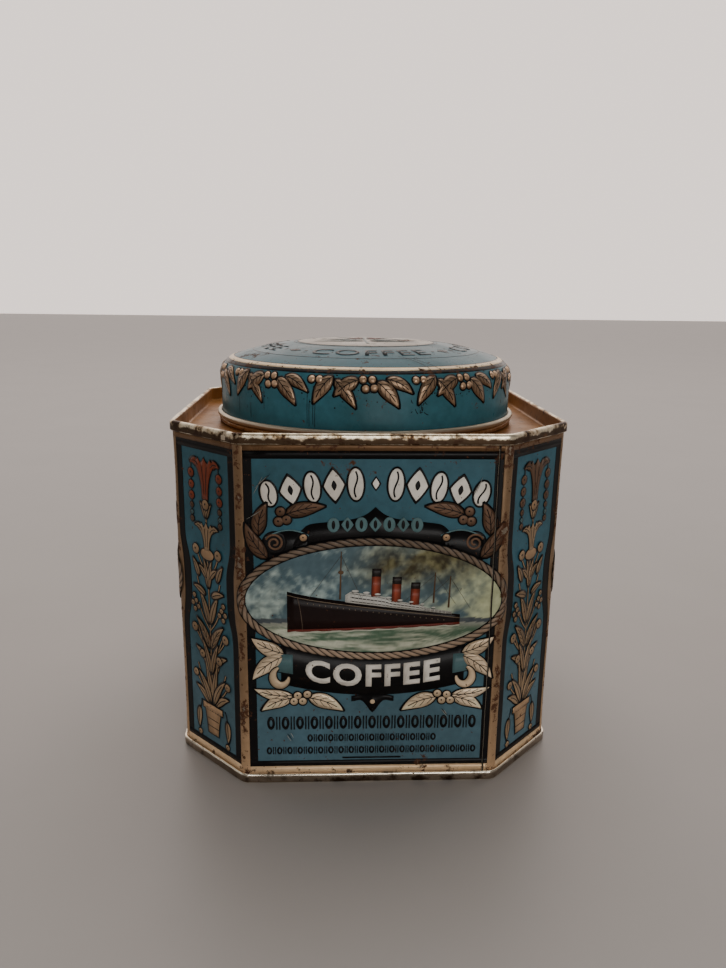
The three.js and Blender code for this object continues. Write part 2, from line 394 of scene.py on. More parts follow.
panel_under = foot + 3.8 + sheet / 2
bottom_line = end_rim(-panel_under)
bottom_line[:, 1] = foot + 0.003 - bottom_line[:, 1]
bottom_line = np.vstack(
    [
        [[20, panel_under + 0.9], [49.2, panel_under + 0.9], [50.1, panel_under + 0.75]],
        [[50.9, panel_under + 0.15], [51.6, panel_under]],
        [[end_line - 0.9, panel_under], [end_line - 0.25, panel_under - 0.2]],
        bottom_line[:1] - [[0, 0.8]],
        bottom_line[1:],
    ]
)
around = columns(14, 7)
press = knocks(around, 3, 26, 0.35) + 0.25 * near_fold(around, 3)
points, faces, edge = sweep_plate(bottom_line, around, press)
height = points[..., 2] - foot
# Painted highlight: a share along the seam's top and bottom edges, stored as the wear value.
lit_edge = edge * np.clip(1 - np.minimum(height, np.abs(height - seam_height + 0.15)) / 0.7, 0, 1)
bottom = make_piece(
    "bottom_end_fine",
    points,
    faces,
    [tin_finish],
    "can",
    {"wear_and_sheen": lit_edge.ravel()},
    poles=True,
)
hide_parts("bottom_end")

# Body sheet
#
# One printed sheet of tinplate folded into an octagon. Its two ends are hooked together behind
# the groove near the front face's right fold, and its edges are flanged into the double seams.

rust = (0.075, 0.030, 0.014, 1)
bared_tin = (0.30, 0.25, 0.19, 1)
grime_tint = (0.72, 0.70, 0.66, 1)


def printed_finish(name, gloss):
    """Varnished print on tinplate. The ink's colour and its metallic share come from the points.
    Grime darkens it, fine pits rust through it, and where it is rubbed the tin shows."""
    finish, tree, shader = new_finish(name, Specular_IOR_Level=0.13, Coat_Weight=0.03, Coat_Roughness=0.12)
    shine = painted(tree, "shine")
    wear_and_sheen = painted(tree, "wear_and_sheen")
    grime = between(tree, noise(tree, 38.0, 8.0, 0.62), 0.36, 0.66)
    tone = blend_colour(tree, grime, painted(tree, "ink", "Color"), grime_tint, "MULTIPLY")
    mottle = between(tree, noise(tree, 420.0, 3.0), 0.3, 0.7, 0.88, 1.08)
    mottle_grey = add_node(tree, "ShaderNodeCombineColor", _0=mottle, _1=mottle, _2=mottle).outputs[0]
    tone = blend_colour(tree, 1.0, tone, mottle_grey, "MULTIPLY")
    broad = times(tree, noise(tree, 95.0, 4.0), 0.45)
    fine = times(tree, noise(tree, 420.0, 9.0, 0.72), 0.55)
    wear = plus(tree, plus(tree, broad, fine), times(tree, wear_and_sheen, 0.12))
    browned = between(tree, wear, 0.610, 0.650)
    bared_and_highlit = between(tree, wear, 0.690, 0.71)
    pit = plus(tree, noise(tree, 780.0, 3.0, 0.5), times(tree, wear_and_sheen, 0.05))
    matt = larger(tree, browned, between(tree, pit, 0.70, 0.73))
    tone = blend_colour(tree, matt, tone, rust)
    tree.links.new(blend_colour(tree, bared_and_highlit, tone, bared_tin), shader.inputs["Base Color"])
    metal = times(tree, shine, minus(tree, 1.0, browned))
    tree.links.new(larger(tree, metal, times(tree, bared_and_highlit, 0.8)), shader.inputs["Metallic"])
    rough = between(tree, noise(tree, 90.0, 6.0), 0.3, 0.7, gloss, gloss + 0.16)
    tree.links.new(between(tree, matt, 0, 1, rough, 0.7), shader.inputs["Roughness"])
    roughen(tree, shader, 0.3, 0.00006, minus(tree, times(tree, noise(tree, 150.0, 3.0), 0.25), matt))
    return finish


printed_tin = printed_finish("printed_tin", 0.26)

inside_lacquer, tree, shader = new_finish("inside_lacquer", Metallic=0.85)
pale_lacquer, brown_lacquer = (0.66, 0.58, 0.45, 1), (0.46, 0.38, 0.28, 1)
inner_tone = blend_colour(tree, noise(tree, 60.0, 7.0), pale_lacquer, brown_lacquer)
tree.links.new(inner_tone, shader.inputs["Base Color"])
tree.links.new(between(tree, noise(tree, 200.0), 0.3, 0.7, 0.3, 0.5), shader.inputs["Roughness"])

print_low = foot + seam_height
print_high = rim_top - seam_height


def sag(s, z):
    """How far the sheet lies inside its true face: slow waves, a whole number of them round the
    can, that fade out at both seams."""
    fade = np.clip(np.minimum(z - print_low - 1, print_high - 1 - z) / 12, 0, 1)
    turn = s * np.pi / (2 * face_pitch)
    wave = 2 + np.sin(5 * turn + z * 0.043 + 1.0) + np.sin(2 * turn - z * 0.083)
    return fade * (0.06 * wave)


def on_can(s, z, lift):
    """Points on the printed face of the body sheet, raised by lift along the way it faces."""
    return round_can(s, lift - sag(s, z), z)


hook_room = 0.5
hook_tip = -2.62


def body_hook():
    """The body's flange as (x, height from the crest): over a half circle and down."""
    centre = -(layer_pitch + hook_room + sheet / 2 + layer_pitch)
    over = bend(wall_line + layer_pitch, centre, layer_pitch, 180, 0, 8)
    return np.vstack([over, [[wall_line + 2 * layer_pitch, hook_tip]]])


def floor_glow(z):
    """How far the print is painted lighter, as painted light reflected from the pale floor: fully on
    the lowest fifth of the height, not at all above two fifths of it, and by a straight slope between."""
    return np.clip((46 - z) / 22, 0, 1)


# The second teal is the first one painted lighter, as painted light reflected from the pale floor.
teal = np.array((0.041, 0.127, 0.170))
floor_lit_teal = np.array((0.088, 0.168, 0.212))

upper_hook = body_hook() + [0, rim_top]
lower_hook = body_hook()[::-1] * [1, -1] + [0, foot]
wall_heights = np.linspace(lower_hook[-1, 1], upper_hook[0, 1], 44)[1:-1]
wall = np.stack([np.full_like(wall_heights, wall_line), wall_heights], axis=1)
line = np.vstack([lower_hook, wall, upper_hook])
inner, outer = strip_sides(line)
outline = np.vstack([outer, inner[::-1]])
around = columns(14, 8)
sink = sag(around[:, None], outline[None, :, 1]) * (outline[None, :, 0] < wall_out + 0.01)
points = round_can(around[:, None], outline[None, :, 0] - wall_out - sink, outline[None, :, 1])
faces = grid_faces(len(around), len(outline), wrap_rows=True, wrap_across=True)
lacquered = np.tile(np.arange(len(outline)) >= len(outer), (len(around), 1)).ravel()
body_sheet = make_piece(
    "body_sheet_fine",
    points,
    faces,
    [printed_tin, inside_lacquer],
    "can",
    {
        # The teal passes into its painted-lighter copy towards the bottom: painted floor light.
        "ink": (teal + (floor_lit_teal - teal) * floor_glow(points[..., 2:])).reshape(-1, 3),
        "shine": np.zeros(points[..., 0].size),
        "wear_and_sheen": np.repeat(near_fold(around, 2.0), len(outline)),
    },
    finish_of=lacquered,
)
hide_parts("body_sheet")

# The lock seam's four layers stand inside the wall, pressed flat into one bar.
groove = broad_flat / 2 + fold_trim - 3.0
bar_s = groove + np.array([0.6, 0.6, -4.2, -4.2])
bar_out = np.array([-0.3, -1.36, -1.36, -0.3])
bar_z = np.array([print_low + 1.6, rim_top - 5.9])
bar = round_can(bar_s[None, :], bar_out[None, :], bar_z[:, None])
bar_faces = np.vstack([grid_faces(2, 4, wrap_across=True), [[0, 1, 2, 3], [7, 6, 5, 4]]])
side_seam = make_piece("side_seam", bar, bar_faces, [inside_lacquer], "can", poles=True)

# Printing
#
# Lithographed inks under a varnish, laid in order on the flat sheet before it was folded. Each
# patch is a grid of points (s, z) with its own ink, one level above the patch that it covers.

black = (0.0055, 0.0050, 0.0055)
gold = (0.42, 0.270, 0.155)
pale_gold = (0.62, 0.47, 0.31)
bright_gold = (0.88, 0.69, 0.48)
cream = (0.96, 0.91, 0.82)
first_lift = 0.03
level_step = 0.022
film_thickness = 0.02


def lay(prints, shape, level, colour, light=1.0, shine=0.0, dome=0.0):
    """Adds a patch: its grid (s, z), its level, its ink times light, and a dome in millimetres.
    The sign of the area between its rows and columns says whether its rows are turned round, so
    that every patch faces outwards."""
    s, z = shape
    light = np.broadcast_to(light, s.shape)
    ink = np.asarray(colour) * light[..., None] if np.ndim(colour) < 3 else colour
    lift = first_lift + level * level_step + np.broadcast_to(dome, s.shape)
    turn = np.sum(np.diff(s, axis=0)[:, :-1] * np.diff(z, axis=1)[:-1])
    turn -= np.sum(np.diff(z, axis=0)[:, :-1] * np.diff(s, axis=1)[:-1])
    if turn < 0:
        s, z, lift, ink = s[::-1], z[::-1], lift[::-1], ink[::-1]
    prints.append((s, z, lift, ink, shine))


def film_piece(name, points, faces, paints, body):
    """A film of print: a mesh of printed tin, thickened inwards from its points."""
    piece = make_piece(name, points, faces, [printed_tin], body, paints, sharp=60)
    film = piece.modifiers.new("film", "SOLIDIFY")
    film.thickness = film_thickness * mm
    film.offset = -1


def print_piece(name, prints, place, body, rubbed, lit_share=None):
    """One film of all the patches, placed by a function of (s, z, lift), with its wear from a
    function of (s, z). Where the last function gives a share for z, the inks are painted up to a
    third lighter, as painted light reflected from the floor."""
    points, faces, inks, shines, rubs = [], [], [], [], []
    first = 0
    for s, z, lift, ink, shine in prints:
        points.append(place(s, z, lift).reshape(-1, 3))
        faces.append(grid_faces(*s.shape) + first)
        ink = np.broadcast_to(ink, (*s.shape, 3))
        if lit_share:
            ink = np.minimum(ink * (1 + 0.33 * lit_share(z)[..., None]), 1.0)
        inks.append(ink.reshape(-1, 3))
        shines.append(np.full(s.size, shine))
        rubs.append(rubbed(s, z).ravel())
        first += s.size
    paints = {"ink": np.vstack(inks), "shine": np.concatenate(shines), "wear_and_sheen": np.concatenate(rubs)}
    film_piece(name, np.vstack(points), np.vstack(faces), paints, body)


def can_rub(s, z):
    """Wear on the can: most on the folds, and a little at both seams."""
    ends = np.clip(1 - np.minimum(z - print_low, print_high - z) / 3.5, 0, 1)
    return np.maximum(near_fold(s, 3.0), 0.7 * ends)


def disc(centre, wide, high, steps=9, power=1.0, turn=0.0):
    """A filled round or star-like shape: a square grid pushed out to a circle, its cosine and
    sine raised to a power (above 1 the sides go hollow), then stretched, turned and moved."""
    side = np.linspace(-1, 1, steps)
    u, v = np.meshgrid(side, side, indexing="ij")
    x = u * np.sqrt(1 - v * v / 2)
    y = v * np.sqrt(1 - u * u / 2)
    reach = np.hypot(x, y)
    angle = np.arctan2(y, x)
    x = wide * reach * np.sign(np.cos(angle)) * np.abs(np.cos(angle)) ** power
    y = high * reach * np.sign(np.sin(angle)) * np.abs(np.sin(angle)) ** power
    s = centre[0] + x * math.cos(turn) - y * math.sin(turn)
    z = centre[1] + x * math.sin(turn) + y * math.cos(turn)
    return s, z


def stroke(path, width, across=2):
    """A line of ink: a path of points moved half a width to each side along its normal."""
    path = np.asarray(path, dtype=float)
    ahead = np.gradient(path, axis=0)
    ahead /= np.linalg.norm(ahead, axis=1)[:, None]
    side = np.linspace(-0.5, 0.5, across)[None, :] * np.broadcast_to(width, len(path))[:, None]
    return path[:, :1] - ahead[:, 1:] * side, path[:, 1:] + ahead[:, :1] * side


def lay_line(prints, path, width, level, colour=black, light=1.0, shine=0.0, dome=0.0):
    """Adds a line of ink along a path."""
    lay(prints, stroke(path, width), level, colour, light, shine, dome)


def bow(start, stop, rise, steps=8):
    """A path from start to stop, pushed sideways by a parabola of the given rise."""
    t = np.linspace(0, 1, steps + 1)[:, None]
    start, stop = np.asarray(start, float), np.asarray(stop, float)
    along = stop - start
    side = np.array([-along[1], along[0]]) / np.linalg.norm(along)
    return start + t * along + side * rise * 4 * t * (1 - t)


def field(x, low, high, rows=2):
    """The area between two curves over the same x, as a grid."""
    share = np.linspace(0, 1, rows)[None, :]
    height = low[:, None] * (1 - share) + high[:, None] * share
    return np.broadcast_to(x[:, None], height.shape), height


def lay_leaf(
    prints, base, tip, width, rise, level, colour=pale_gold, raised=0.05, shine=0.25, outline=0.75
):
    """A leaf on a curved rib: its half width is a sine of the way along, skewed towards the base
    and pointed at the tip. Under it lies a black edge, and over it the rib and, on a wide leaf,
    three pairs of veins."""
    t = np.linspace(0, 1, 11)
    swell = np.sin(np.pi * t**0.8) ** 0.85 * (1 - 0.25 * t)
    rib = bow(base, tip, rise, 10)
    across = np.linspace(-1, 1, 5)
    ahead = np.asarray(tip, float) - np.asarray(base, float)
    ahead /= np.linalg.norm(ahead)
    edge = bow(np.asarray(base) - 0.4 * ahead, np.asarray(tip) + 0.55 * ahead, rise, 10)
    lay(prints, stroke(edge, width * swell + outline, 3), level, black)
    blade = stroke(rib, width * swell + 0.02, 5)
    light = 0.78 + 0.16 * across[None, :] + 0.22 * t[:, None] - 0.2 * np.abs(across)[None, :] ** 3
    bulge = raised * (1 - across[None, :] ** 2) * swell[:, None]
    lay(prints, blade, level + 1, colour, light, shine, bulge)
    lay_line(prints, rib[:9], 0.26, level + 3, dome=raised * swell[:9, None])
    reach = np.linspace(0, 1, 4)[:, None]
    for side in (-1, 1):
        for k in (1, 3, 5) if width > 3.0 else ():
            end = rib[k + 2] + side * np.array([-ahead[1], ahead[0]]) * width * swell[k + 2] * 0.36
            height = raised * (1 - (0.72 * reach) ** 2) * (swell[k] + (swell[k + 2] - swell[k]) * reach)
            lay_line(prints, bow(rib[k], end, 0.12 * side, 3), 0.17, level + 2, dome=height)


def lay_berry(prints, centre, radius, level, colour=pale_gold):
    """A berry: a black disc, a disc of its colour on it, domed as a parabola, and a dark eye."""
    lay(prints, disc(centre, radius + 0.38, radius + 0.38, 7), level, black)
    s, z = disc(centre, radius, radius, 7)
    light = 0.85 + 0.22 * (z - centre[1]) / radius - 0.12 * (s - centre[0]) / radius
    bulge = 0.08 * (1 - ((s - centre[0]) ** 2 + (z - centre[1]) ** 2) / radius**2)
    lay(prints, (s, z), level + 1, colour, light, 0.25, bulge)
    eye_place = (centre[0] - 0.1 * radius, centre[1] + 0.1 * radius)
    lay(prints, disc(eye_place, 0.22 * radius, 0.22 * radius, 4), level + 2, black, dome=0.08)


# The gold bands and the black frames run round every face. On the corner faces they give way to
# the rope, which crosses the fold there.
oval_s, oval_z = 0.6, (print_low + print_high) / 2 + 5.5
oval_wide, oval_high = 38.9, 18.0
fold_middle = broad_flat / 2 + fold_arc / 2
frame_low, frame_high = print_low + 4.2, print_high - 4.1
# Both horizontal bands are one gold: painted in shade, dark brown, under the rim, and painted lit, pale, at
# the foot.
shaded_top_band, lit_foot_band = (0.19, 0.105, 0.052), (0.68, 0.48, 0.29)


def give_way(z, reach):
    """A frame's retreat from the rope: a flat-topped bell about the oval's middle height."""
    return reach * np.exp(-(((z - oval_z) / 11.0) ** 4))


frames = []
heights = np.linspace(print_low - 0.2, print_high + 0.2, 90)
edges = (
    (black, 1, 0.0, -1.5 + 0 * heights, -4.0 + 0 * heights),
    (black, 1, 0.0, 1.5 + give_way(heights, 1.3), 4.2 + give_way(heights, 2.3)),
    (gold, 5, 0.35, -1.55 + 0 * heights, 1.55 + give_way(heights, 1.4)),
)
for face in range(4):
    for side in (-1, 1):
        fold = face * face_pitch + side * fold_middle
        for colour, level, shine, near, far in edges:
            band = field(heights, fold + side * near, fold + side * far, 13)[::-1]
            # The bands are painted lighter towards the foot: a painted reflection of the floor.
            lay(frames, band, level, colour, 0.62 + 0.7 * np.exp(-(band[1] - print_low) / 14), shine)
around = np.concatenate([columns(10, 6), [run_start[-1]]])
for low, high, level, colour, shine in (
    (print_high - 1.75, print_high + 0.25, 4, shaded_top_band, 0.35),
    (frame_high, print_high - 1.7, 3, black, 0.0),
    (print_low - 0.25, print_low + 2.3, 4, lit_foot_band, 0.2),
    (print_low + 2.2, frame_low, 3, black, 0.0),
):
    band = field(around, np.full_like(around, low), np.full_like(around, high))
    lay(frames, band, level, colour, shine=shine)
print_piece("frame_print", frames, on_can, "can", can_rub, floor_glow)

# Broad faces
#
# Each broad face carries a steamer at sea in a rope oval. Over it are a band of beans and stars
# and a scrolled cartouche, under it a ribbon and a bead-and-reel border, and beside it sprays of
# leaves and berries.

bark = (0.150, 0.085, 0.052)
rope_gold = (0.34, 0.245, 0.175)
dull_teal = (0.105, 0.200, 0.215)
ribbon_hang = 0.0052


def value_noise(x, z, size, seed):
    """Smooth noise from 0 to 1: random values on a square lattice of the given size, blended
    between neighbours by a cubic, with three finer layers at half the strength each."""
    dice = np.random.default_rng(seed).random((64, 64))
    total = np.zeros(np.broadcast(x, z).shape)
    layers = 4
    for octave in range(layers):
        gx, gz = x / size * 2**octave + 31.7, z / size * 2**octave + 17.3
        ix, iz = np.floor(gx).astype(int), np.floor(gz).astype(int)
        fx, fz = gx - ix, gz - iz
        fx, fz = fx * fx * (3 - 2 * fx), fz * fz * (3 - 2 * fz)
        corner = [dice[(ix + a) % 64, (iz + b) % 64] for a in (0, 1) for b in (0, 1)]
        low = corner[0] * (1 - fz) + corner[1] * fz
        high = corner[2] * (1 - fz) + corner[3] * fz
        total += (low * (1 - fx) + high * fx) * 0.5**octave
    return total / (2 - 0.5 ** (layers - 1))


def toned(first, second, share):
    """One colour passing into another by a share for each point."""
    share = np.clip(share, 0, 1)[..., None]
    return np.asarray(first) * (1 - share) + np.asarray(second) * share


def paint_sea(x, z):
    """The picture behind the ship: a stormy sky from slate blue to pale green, a plume of smoke
    that drifts to the right, a dark coast, and a pale sea with green troughs."""
    horizon = -7.2
    slant = 0.8 * x + 0.6 * z
    cloud = value_noise(slant, (z - 0.7 * x) * 1.5, 8.0, 5)
    fine = value_noise(x, z, 1.5, 8)
    sky = toned((0.070, 0.115, 0.135), (0.34, 0.42, 0.39), (cloud - 0.42) * 2.6 + (fine - 0.5) * 1.6)
    sky = toned(sky, (0.42, 0.45, 0.28), (x - 16) / 22 + (cloud - 0.5) * 1.8 + (fine - 0.5) * 0.8)
    plume = np.exp(-(((z - 9.5 - 0.12 * x) / 7.5) ** 2)) * (1 / (1 + np.exp(-(x + 3) / 3.5)))
    smoke = toned((0.042, 0.034, 0.016), (0.150, 0.140, 0.070), (fine - 0.32) * 2.4)
    sky = toned(sky, smoke, plume * (0.85 + 1.8 * (cloud - 0.45)) - np.clip((x - 26) / 14, 0, 1))
    sky *= (1.0 + 0.6 * fine)[..., None]
    swell = value_noise(x * 0.30, z * 2.8 + 0.5 * np.sin(x * 0.35), 2.6, 3)
    chop = value_noise(x * 0.5, z * 4.2, 2.0, 21)
    sea = toned((0.095, 0.165, 0.105), (0.62, 0.65, 0.51), 0.50 + (swell - 0.5) * 2.2 + (chop - 0.5) * 1.6)
    sea = toned(sea, (0.33, 0.34, 0.29), np.clip(1 - (horizon - z) / 2.2, 0, 1))
    coast = toned((0.055, 0.070, 0.085), (0.11, 0.13, 0.14), fine)
    land = (z > horizon) & (z < horizon + 1.1 + 0.8 * value_noise(x, x * 0, 4.0, 2)) & (np.abs(x) > 23)
    return np.where((z < horizon)[..., None], sea, np.where(land[..., None], coast, sky))


def lay_ship(prints, s, z, level):
    """A plain steamer seen off her bow, in patches from the hull up to the masts. The sheer of
    her deck and her waterline are powers of the way along, because she recedes."""
    hull, brass, wire = (0.009, 0.0035, 0.003), (0.16, 0.12, 0.08), (0.07, 0.06, 0.05)
    white, shade = (0.62, 0.61, 0.56), (0.035, 0.028, 0.026)
    funnel_red, funnel_cap, mast = (0.24, 0.050, 0.027), (0.020, 0.016, 0.015), (0.13, 0.075, 0.040)
    x = np.linspace(-25.5, 25.5, 24)
    deck = 1.9 - 6.6 * ((x + 25.5) / 51) ** 0.9 + 0.8 * np.exp(-(x + 25.5) / 6)
    keel = -10.0 + 2.2 * ((x + 25.5) / 51) ** 1.6
    lay(prints, field(s + x, z + keel, z + deck, 4), level, hull, np.linspace(1.8, 0.7, 4)[None, :])
    lay(prints, field(s + x, z + keel - 0.1, z + keel + 0.7), level + 1, (0.16, 0.030, 0.020))
    foam = np.stack([s + x, z + keel - 0.25 + 0.2 * np.sin(x)], 1)
    lay_line(prints, foam, 0.35, level + 2, (0.55, 0.57, 0.46))
    lay_line(prints, np.stack([s + x, z + deck - 1.1], 1), 0.22, level + 1, (0.20, 0.15, 0.10))

    # The decks over the hull, with their posts and boats.
    upper = np.linspace(-8.5, 23.0, 22)
    base = np.interp(upper, x, deck) - 0.2
    height = np.interp(upper, [-8.5, -7.9, 3.4, 3.8, 14, 14.4, 23], [2.2, 3.5, 3.2, 2.4, 1.9, 1.2, 0.8])
    lay(prints, field(s + upper, z + base, z + base + height), level + 1, white)
    for share, thick in ((0.16, 0.22), (0.50, 0.34), (0.84, 0.16)):
        tier = np.stack([s + upper[1:], (z + base + height * share)[1:]], 1)
        lay_line(prints, tier, thick * np.interp(upper[1:], [-8, 23], [1.2, 0.5]), level + 2, shade)
    for k in range(27):
        post = -7.9 + 1.12 * k
        foot_z = np.interp(post, upper, base)
        top_z = foot_z + np.interp(post, upper, height) * 0.9
        lay_line(prints, [[s + post, z + foot_z], [s + post, z + top_z]], 0.22, level + 3, white, 0.85)
    for k in range(8):
        boat = -5.6 + 3.3 * k
        rail = np.interp(boat, upper, base + height) + 0.45
        size = 1.05 - 0.07 * k
        lay(prints, disc((s + boat, z + rail), size, 0.36 * size, 5), level + 4, white)
        keel_line = [[s + boat - size, z + rail - 0.4], [s + boat + size, z + rail - 0.4]]
        lay_line(prints, keel_line, 0.14, level + 4, shade)
    for k in range(24):
        port = -19.5 + 1.75 * k
        centre = (s + port, z + np.interp(port, x, deck) - 2.3)
        lay(prints, disc(centre, 0.17, 0.2, 4), level + 1, brass)
    chain = bow([s - 22.5, z + deck[0] - 1.7], [s - 21.0, z - 9.5], 0.25, 6)
    lay_line(prints, chain, 0.16, level + 2, (0.14, 0.10, 0.07))

    # Three leaning funnels with black caps, then the masts and their stays.
    across = np.linspace(-1.35, 1.35, 6)[:, None]
    light = np.array([0.45, 0.8, 1.5, 1.2, 0.8, 0.4])[:, None]
    for place, tall in ((0.4, 8.6), (6.4, 7.8), (11.9, 7.0)):
        seat = np.interp(place, upper, base + height) - 0.3
        for lean, share, colour, glow in (
            ([0.0, 0.7], [0.0, 0.72], funnel_red, 1.0),
            ([0.7, 1.0], [0.70, 1.0], funnel_cap, 1.2),
        ):
            s_grid = s + place + across + 0.25 * np.array([lean])
            z_grid = z + seat + tall * np.array([share]) + 0 * across
            lay(prints, (s_grid, z_grid), level + 2, colour, light * glow)
    for place, low, high in ((-10.0, 0.2, 15.0), (17.5, -1.0, 8.5), (22.0, -2.5, 7.4)):
        path = np.array([[s + place, z + low], [s + place + 0.3, z + high]])
        lay_line(prints, path, [0.55, 0.25], level + 3, mast)
        for reach in (-9.5, 6.5):
            stay = bow([s + place + 0.3, z + high * 0.92], [s + place + reach, z + low - 0.3], 0.0, 3)
            lay_line(prints, stay, 0.11, level + 1, wire)
    lay(prints, disc((s - 9.8, z + 8.6), 0.8, 0.6, 5), level + 4, mast)


def lay_rope(prints, s, z, wide, high, level):
    """A laid rope round an oval: its strands cross the path on a slant, each a rounded lump of
    gold that ends in a dark line, on a black edge."""
    t = np.linspace(0, 2 * np.pi, 721)
    oval = np.stack([s + wide * np.cos(t), z + high * np.sin(t)], axis=1)
    length = np.concatenate([[0], np.cumsum(np.linalg.norm(np.diff(oval, axis=0), axis=1))])
    strands = 66
    dark_share = 0.135
    share = np.array([0.0, 0.13, 0.14, 0.36, 0.62, 0.86])
    turn = (np.arange(strands)[:, None] + share[None, :]).ravel()
    turn = np.append(turn, strands)
    part = np.mod(turn, 1.0)
    across = np.linspace(-1, 1, 6)[None, :]
    along = (turn[:, None] + 0.62 * across) / strands * length[-1]
    angle = np.interp(np.mod(along, length[-1]), length, t)
    lump = np.where(part < dark_share, 0.0, np.sin(np.pi * (part - dark_share) / (1 - dark_share)))[:, None]
    half = 0.92 + 0.20 * lump
    normal = np.stack([np.cos(angle) / wide, np.sin(angle) / high], axis=-1)
    normal /= np.linalg.norm(normal, axis=-1, keepdims=True)
    rope_s = s + wide * np.cos(angle) + normal[..., 0] * across * half
    rope_z = z + high * np.sin(angle) + normal[..., 1] * across * half
    light = np.where(part < dark_share, 0.10, 0.75 + 0.55 * lump[:, 0])[:, None] * (1 - 0.3 * across**2)
    light *= 0.75 - 0.35 * np.sin(angle)
    closed = np.vstack([oval, oval[1:2]])
    lay(prints, stroke(closed[::3], 2.7, 3), level, black)
    lay(prints, (rope_s, rope_z), level + 1, rope_gold, light, 0.1, 0.10 * lump * (1 - across**2))


def lay_bead_and_reel(prints, s, z, half_run, high, count):
    """A border of ovals with a pair of thin bars between each two."""
    pitch = 2 * half_run / count
    for k in range(count):
        at = s - half_run + (k + 0.5) * pitch
        lay(prints, disc((at, z), pitch * 0.27, high / 2, 5), 6, black)
        # The ovals' centres are the painted floor-lit teal, less the third of painted light that the film
        # adds again.
        lay(prints, disc((at, z), pitch * 0.10, high * 0.26, 4), 7, 0.75 * floor_lit_teal)
        for bar in (0.40, 0.60):
            if k < count - 1:
                post = at + pitch * bar
                rod = [[post, z - high / 2], [post, z + high / 2]]
                lay_line(prints, rod, pitch * 0.09, 6)


def lay_title(prints, s):
    """The band at the top: beans and hollow-sided stars on an arch, cream on a black edge. The
    arch falls and the beans shorten by the square of the distance from the middle."""
    for k in (-5, -4, -3, -2, -1, 1, 2, 3, 4, 5):
        x = math.copysign(5.7 + 6.15 * (abs(k) - 1), k)
        tall = 5.15 - 0.0011 * x * x
        centre = (s + x, 95.5 - 0.0031 * x * x)
        lean = -x * 0.0075
        if k % 2:
            lay(prints, disc(centre, 2.75, tall + 0.1, 11, 1.0, lean), 6, black)
            s_grid, z_grid = disc(centre, 2.15, tall - 0.5, 11, 1.0, lean)
            lay(prints, (s_grid, z_grid), 7, cream, 0.86 + 0.05 * (z_grid - centre[1]) / tall * 2)
            crease_s = centre[0] + 0.5 * np.sin(np.linspace(-3, 3, 12)) - lean * np.linspace(-4, 4, 12)
            crease_z = centre[1] + np.linspace(-0.82, 0.82, 12) * (tall - 0.5)
            lay_line(prints, np.stack([crease_s, crease_z], axis=1), 0.5, 8)
        else:
            lay(prints, disc(centre, 3.5, tall + 0.5, 15, 1.7, lean), 6, black)
            lay(prints, disc(centre, 2.85, tall - 0.5, 15, 1.7, lean), 7, cream, 0.9)
            lay(prints, disc(centre, 0.75, 1.5, 7, 1.4, lean), 8, black)
    lay(prints, disc((s, 95.6), 1.5, 2.2, 9, 1.8), 6, black)
    lay(prints, disc((s, 95.6), 0.95, 1.6, 9, 1.8), 7, cream)


def lay_cartouche(prints, s):
    """The black brace over the oval: its brow is a shallow parabola with a peak in the middle, its
    ends are scrolls, and a row of small ovals and stars stands on it."""
    x = np.linspace(-23.5, 23.5, 41)
    reach = np.abs(x)
    brow = 84.9 - 0.0035 * reach**2 + 3.9 * np.exp(-((reach / 3.1) ** 1.1))
    brow -= 5.2 * np.clip((reach - 18.0) / 5.5, 0, 1) ** 2.2
    lay(prints, field(s + x, np.full_like(x, 76.0), brow, 3), 6, black)
    for side in (-1, 1):
        x = np.linspace(19.0, 31.5, 14)
        top = 79.2 + 2.6 * np.sin(np.clip((x - 19) / 12.5, 0, 1) * np.pi * 0.86 + 0.35)
        lay(prints, field(s + side * x, 71.5 + 0 * x + (x - 25) * -0.35, top, 3), 6, black)
        crest = np.stack([s + side * x, top + 0.1], axis=1)
        lay_line(prints, crest, 0.4, 7, dull_teal)
        turn = np.linspace(0.4, 11.5, 40)
        coil = 2.75 * (1 - turn / 14)
        spiral = np.stack([s + side * (28.9 + coil * np.cos(turn)), 78.0 + coil * np.sin(turn)], axis=1)
        lay(prints, disc((s + side * 28.9, 78.0), 3.6, 3.6, 9), 6, black)
        lay_line(prints, spiral, 0.62, 8, bark, 1.15, 0.2)
        lay_berry(prints, (s + side * 20.6, 79.6), 1.05, 8, gold)
    for k in range(-3, 4):
        centre = (s + 4.0 * k, 83.6 - 0.02 * k * k)
        lay(prints, disc(centre, 1.75, 2.2, 9, 1.0 if k % 2 else 1.7), 8, dull_teal)
        lay(prints, disc(centre, 0.5, 1.3, 5), 9, black)


def lay_sprays(prints, s):
    """Sprays of leaves and berries, the same on the left and on the right: brown ones above the
    oval, and bright gold ones beside and below it."""
    for side in (-1, 1):
        for base, tip, width, rise, colour in (
            ((25.6, 86.6), (14.4, 88.9), 4.6, -0.5, bark),
            ((33.3, 80.4), (30.9, 89.8), 4.6, -0.9, bark),
            ((30.9, 73.4), (37.0, 84.0), 4.6, -0.9, bark),
            ((26.6, 43.4), (36.1, 48.4), 5.0, -0.7, bright_gold),
            ((27.0, 42.4), (36.0, 35.0), 5.2, 0.9, bright_gold),
            ((24.2, 29.7), (35.6, 31.9), 3.9, -0.9, bright_gold),
            ((24.0, 28.9), (33.4, 24.7), 4.6, 0.8, bright_gold),
            ((19.4, 28.8), (8.9, 24.4), 5.2, -0.8, bright_gold),
        ):
            start, stop = (s + side * base[0], base[1]), (s + side * tip[0], tip[1])
            lay_leaf(prints, start, stop, width, side * rise, 10, colour)
        for x, z in ((27.0, 87.4), (27.6, 84.5), (25.3, 85.0)):
            lay_berry(prints, (s + side * x, z), 1.3, 14, bark)
        for x, z in ((22.6, 29.6), (19.7, 30.0), (23.7, 27.7), (21.1, 27.7)):
            lay_berry(prints, (s + side * x, z), 1.15, 14)


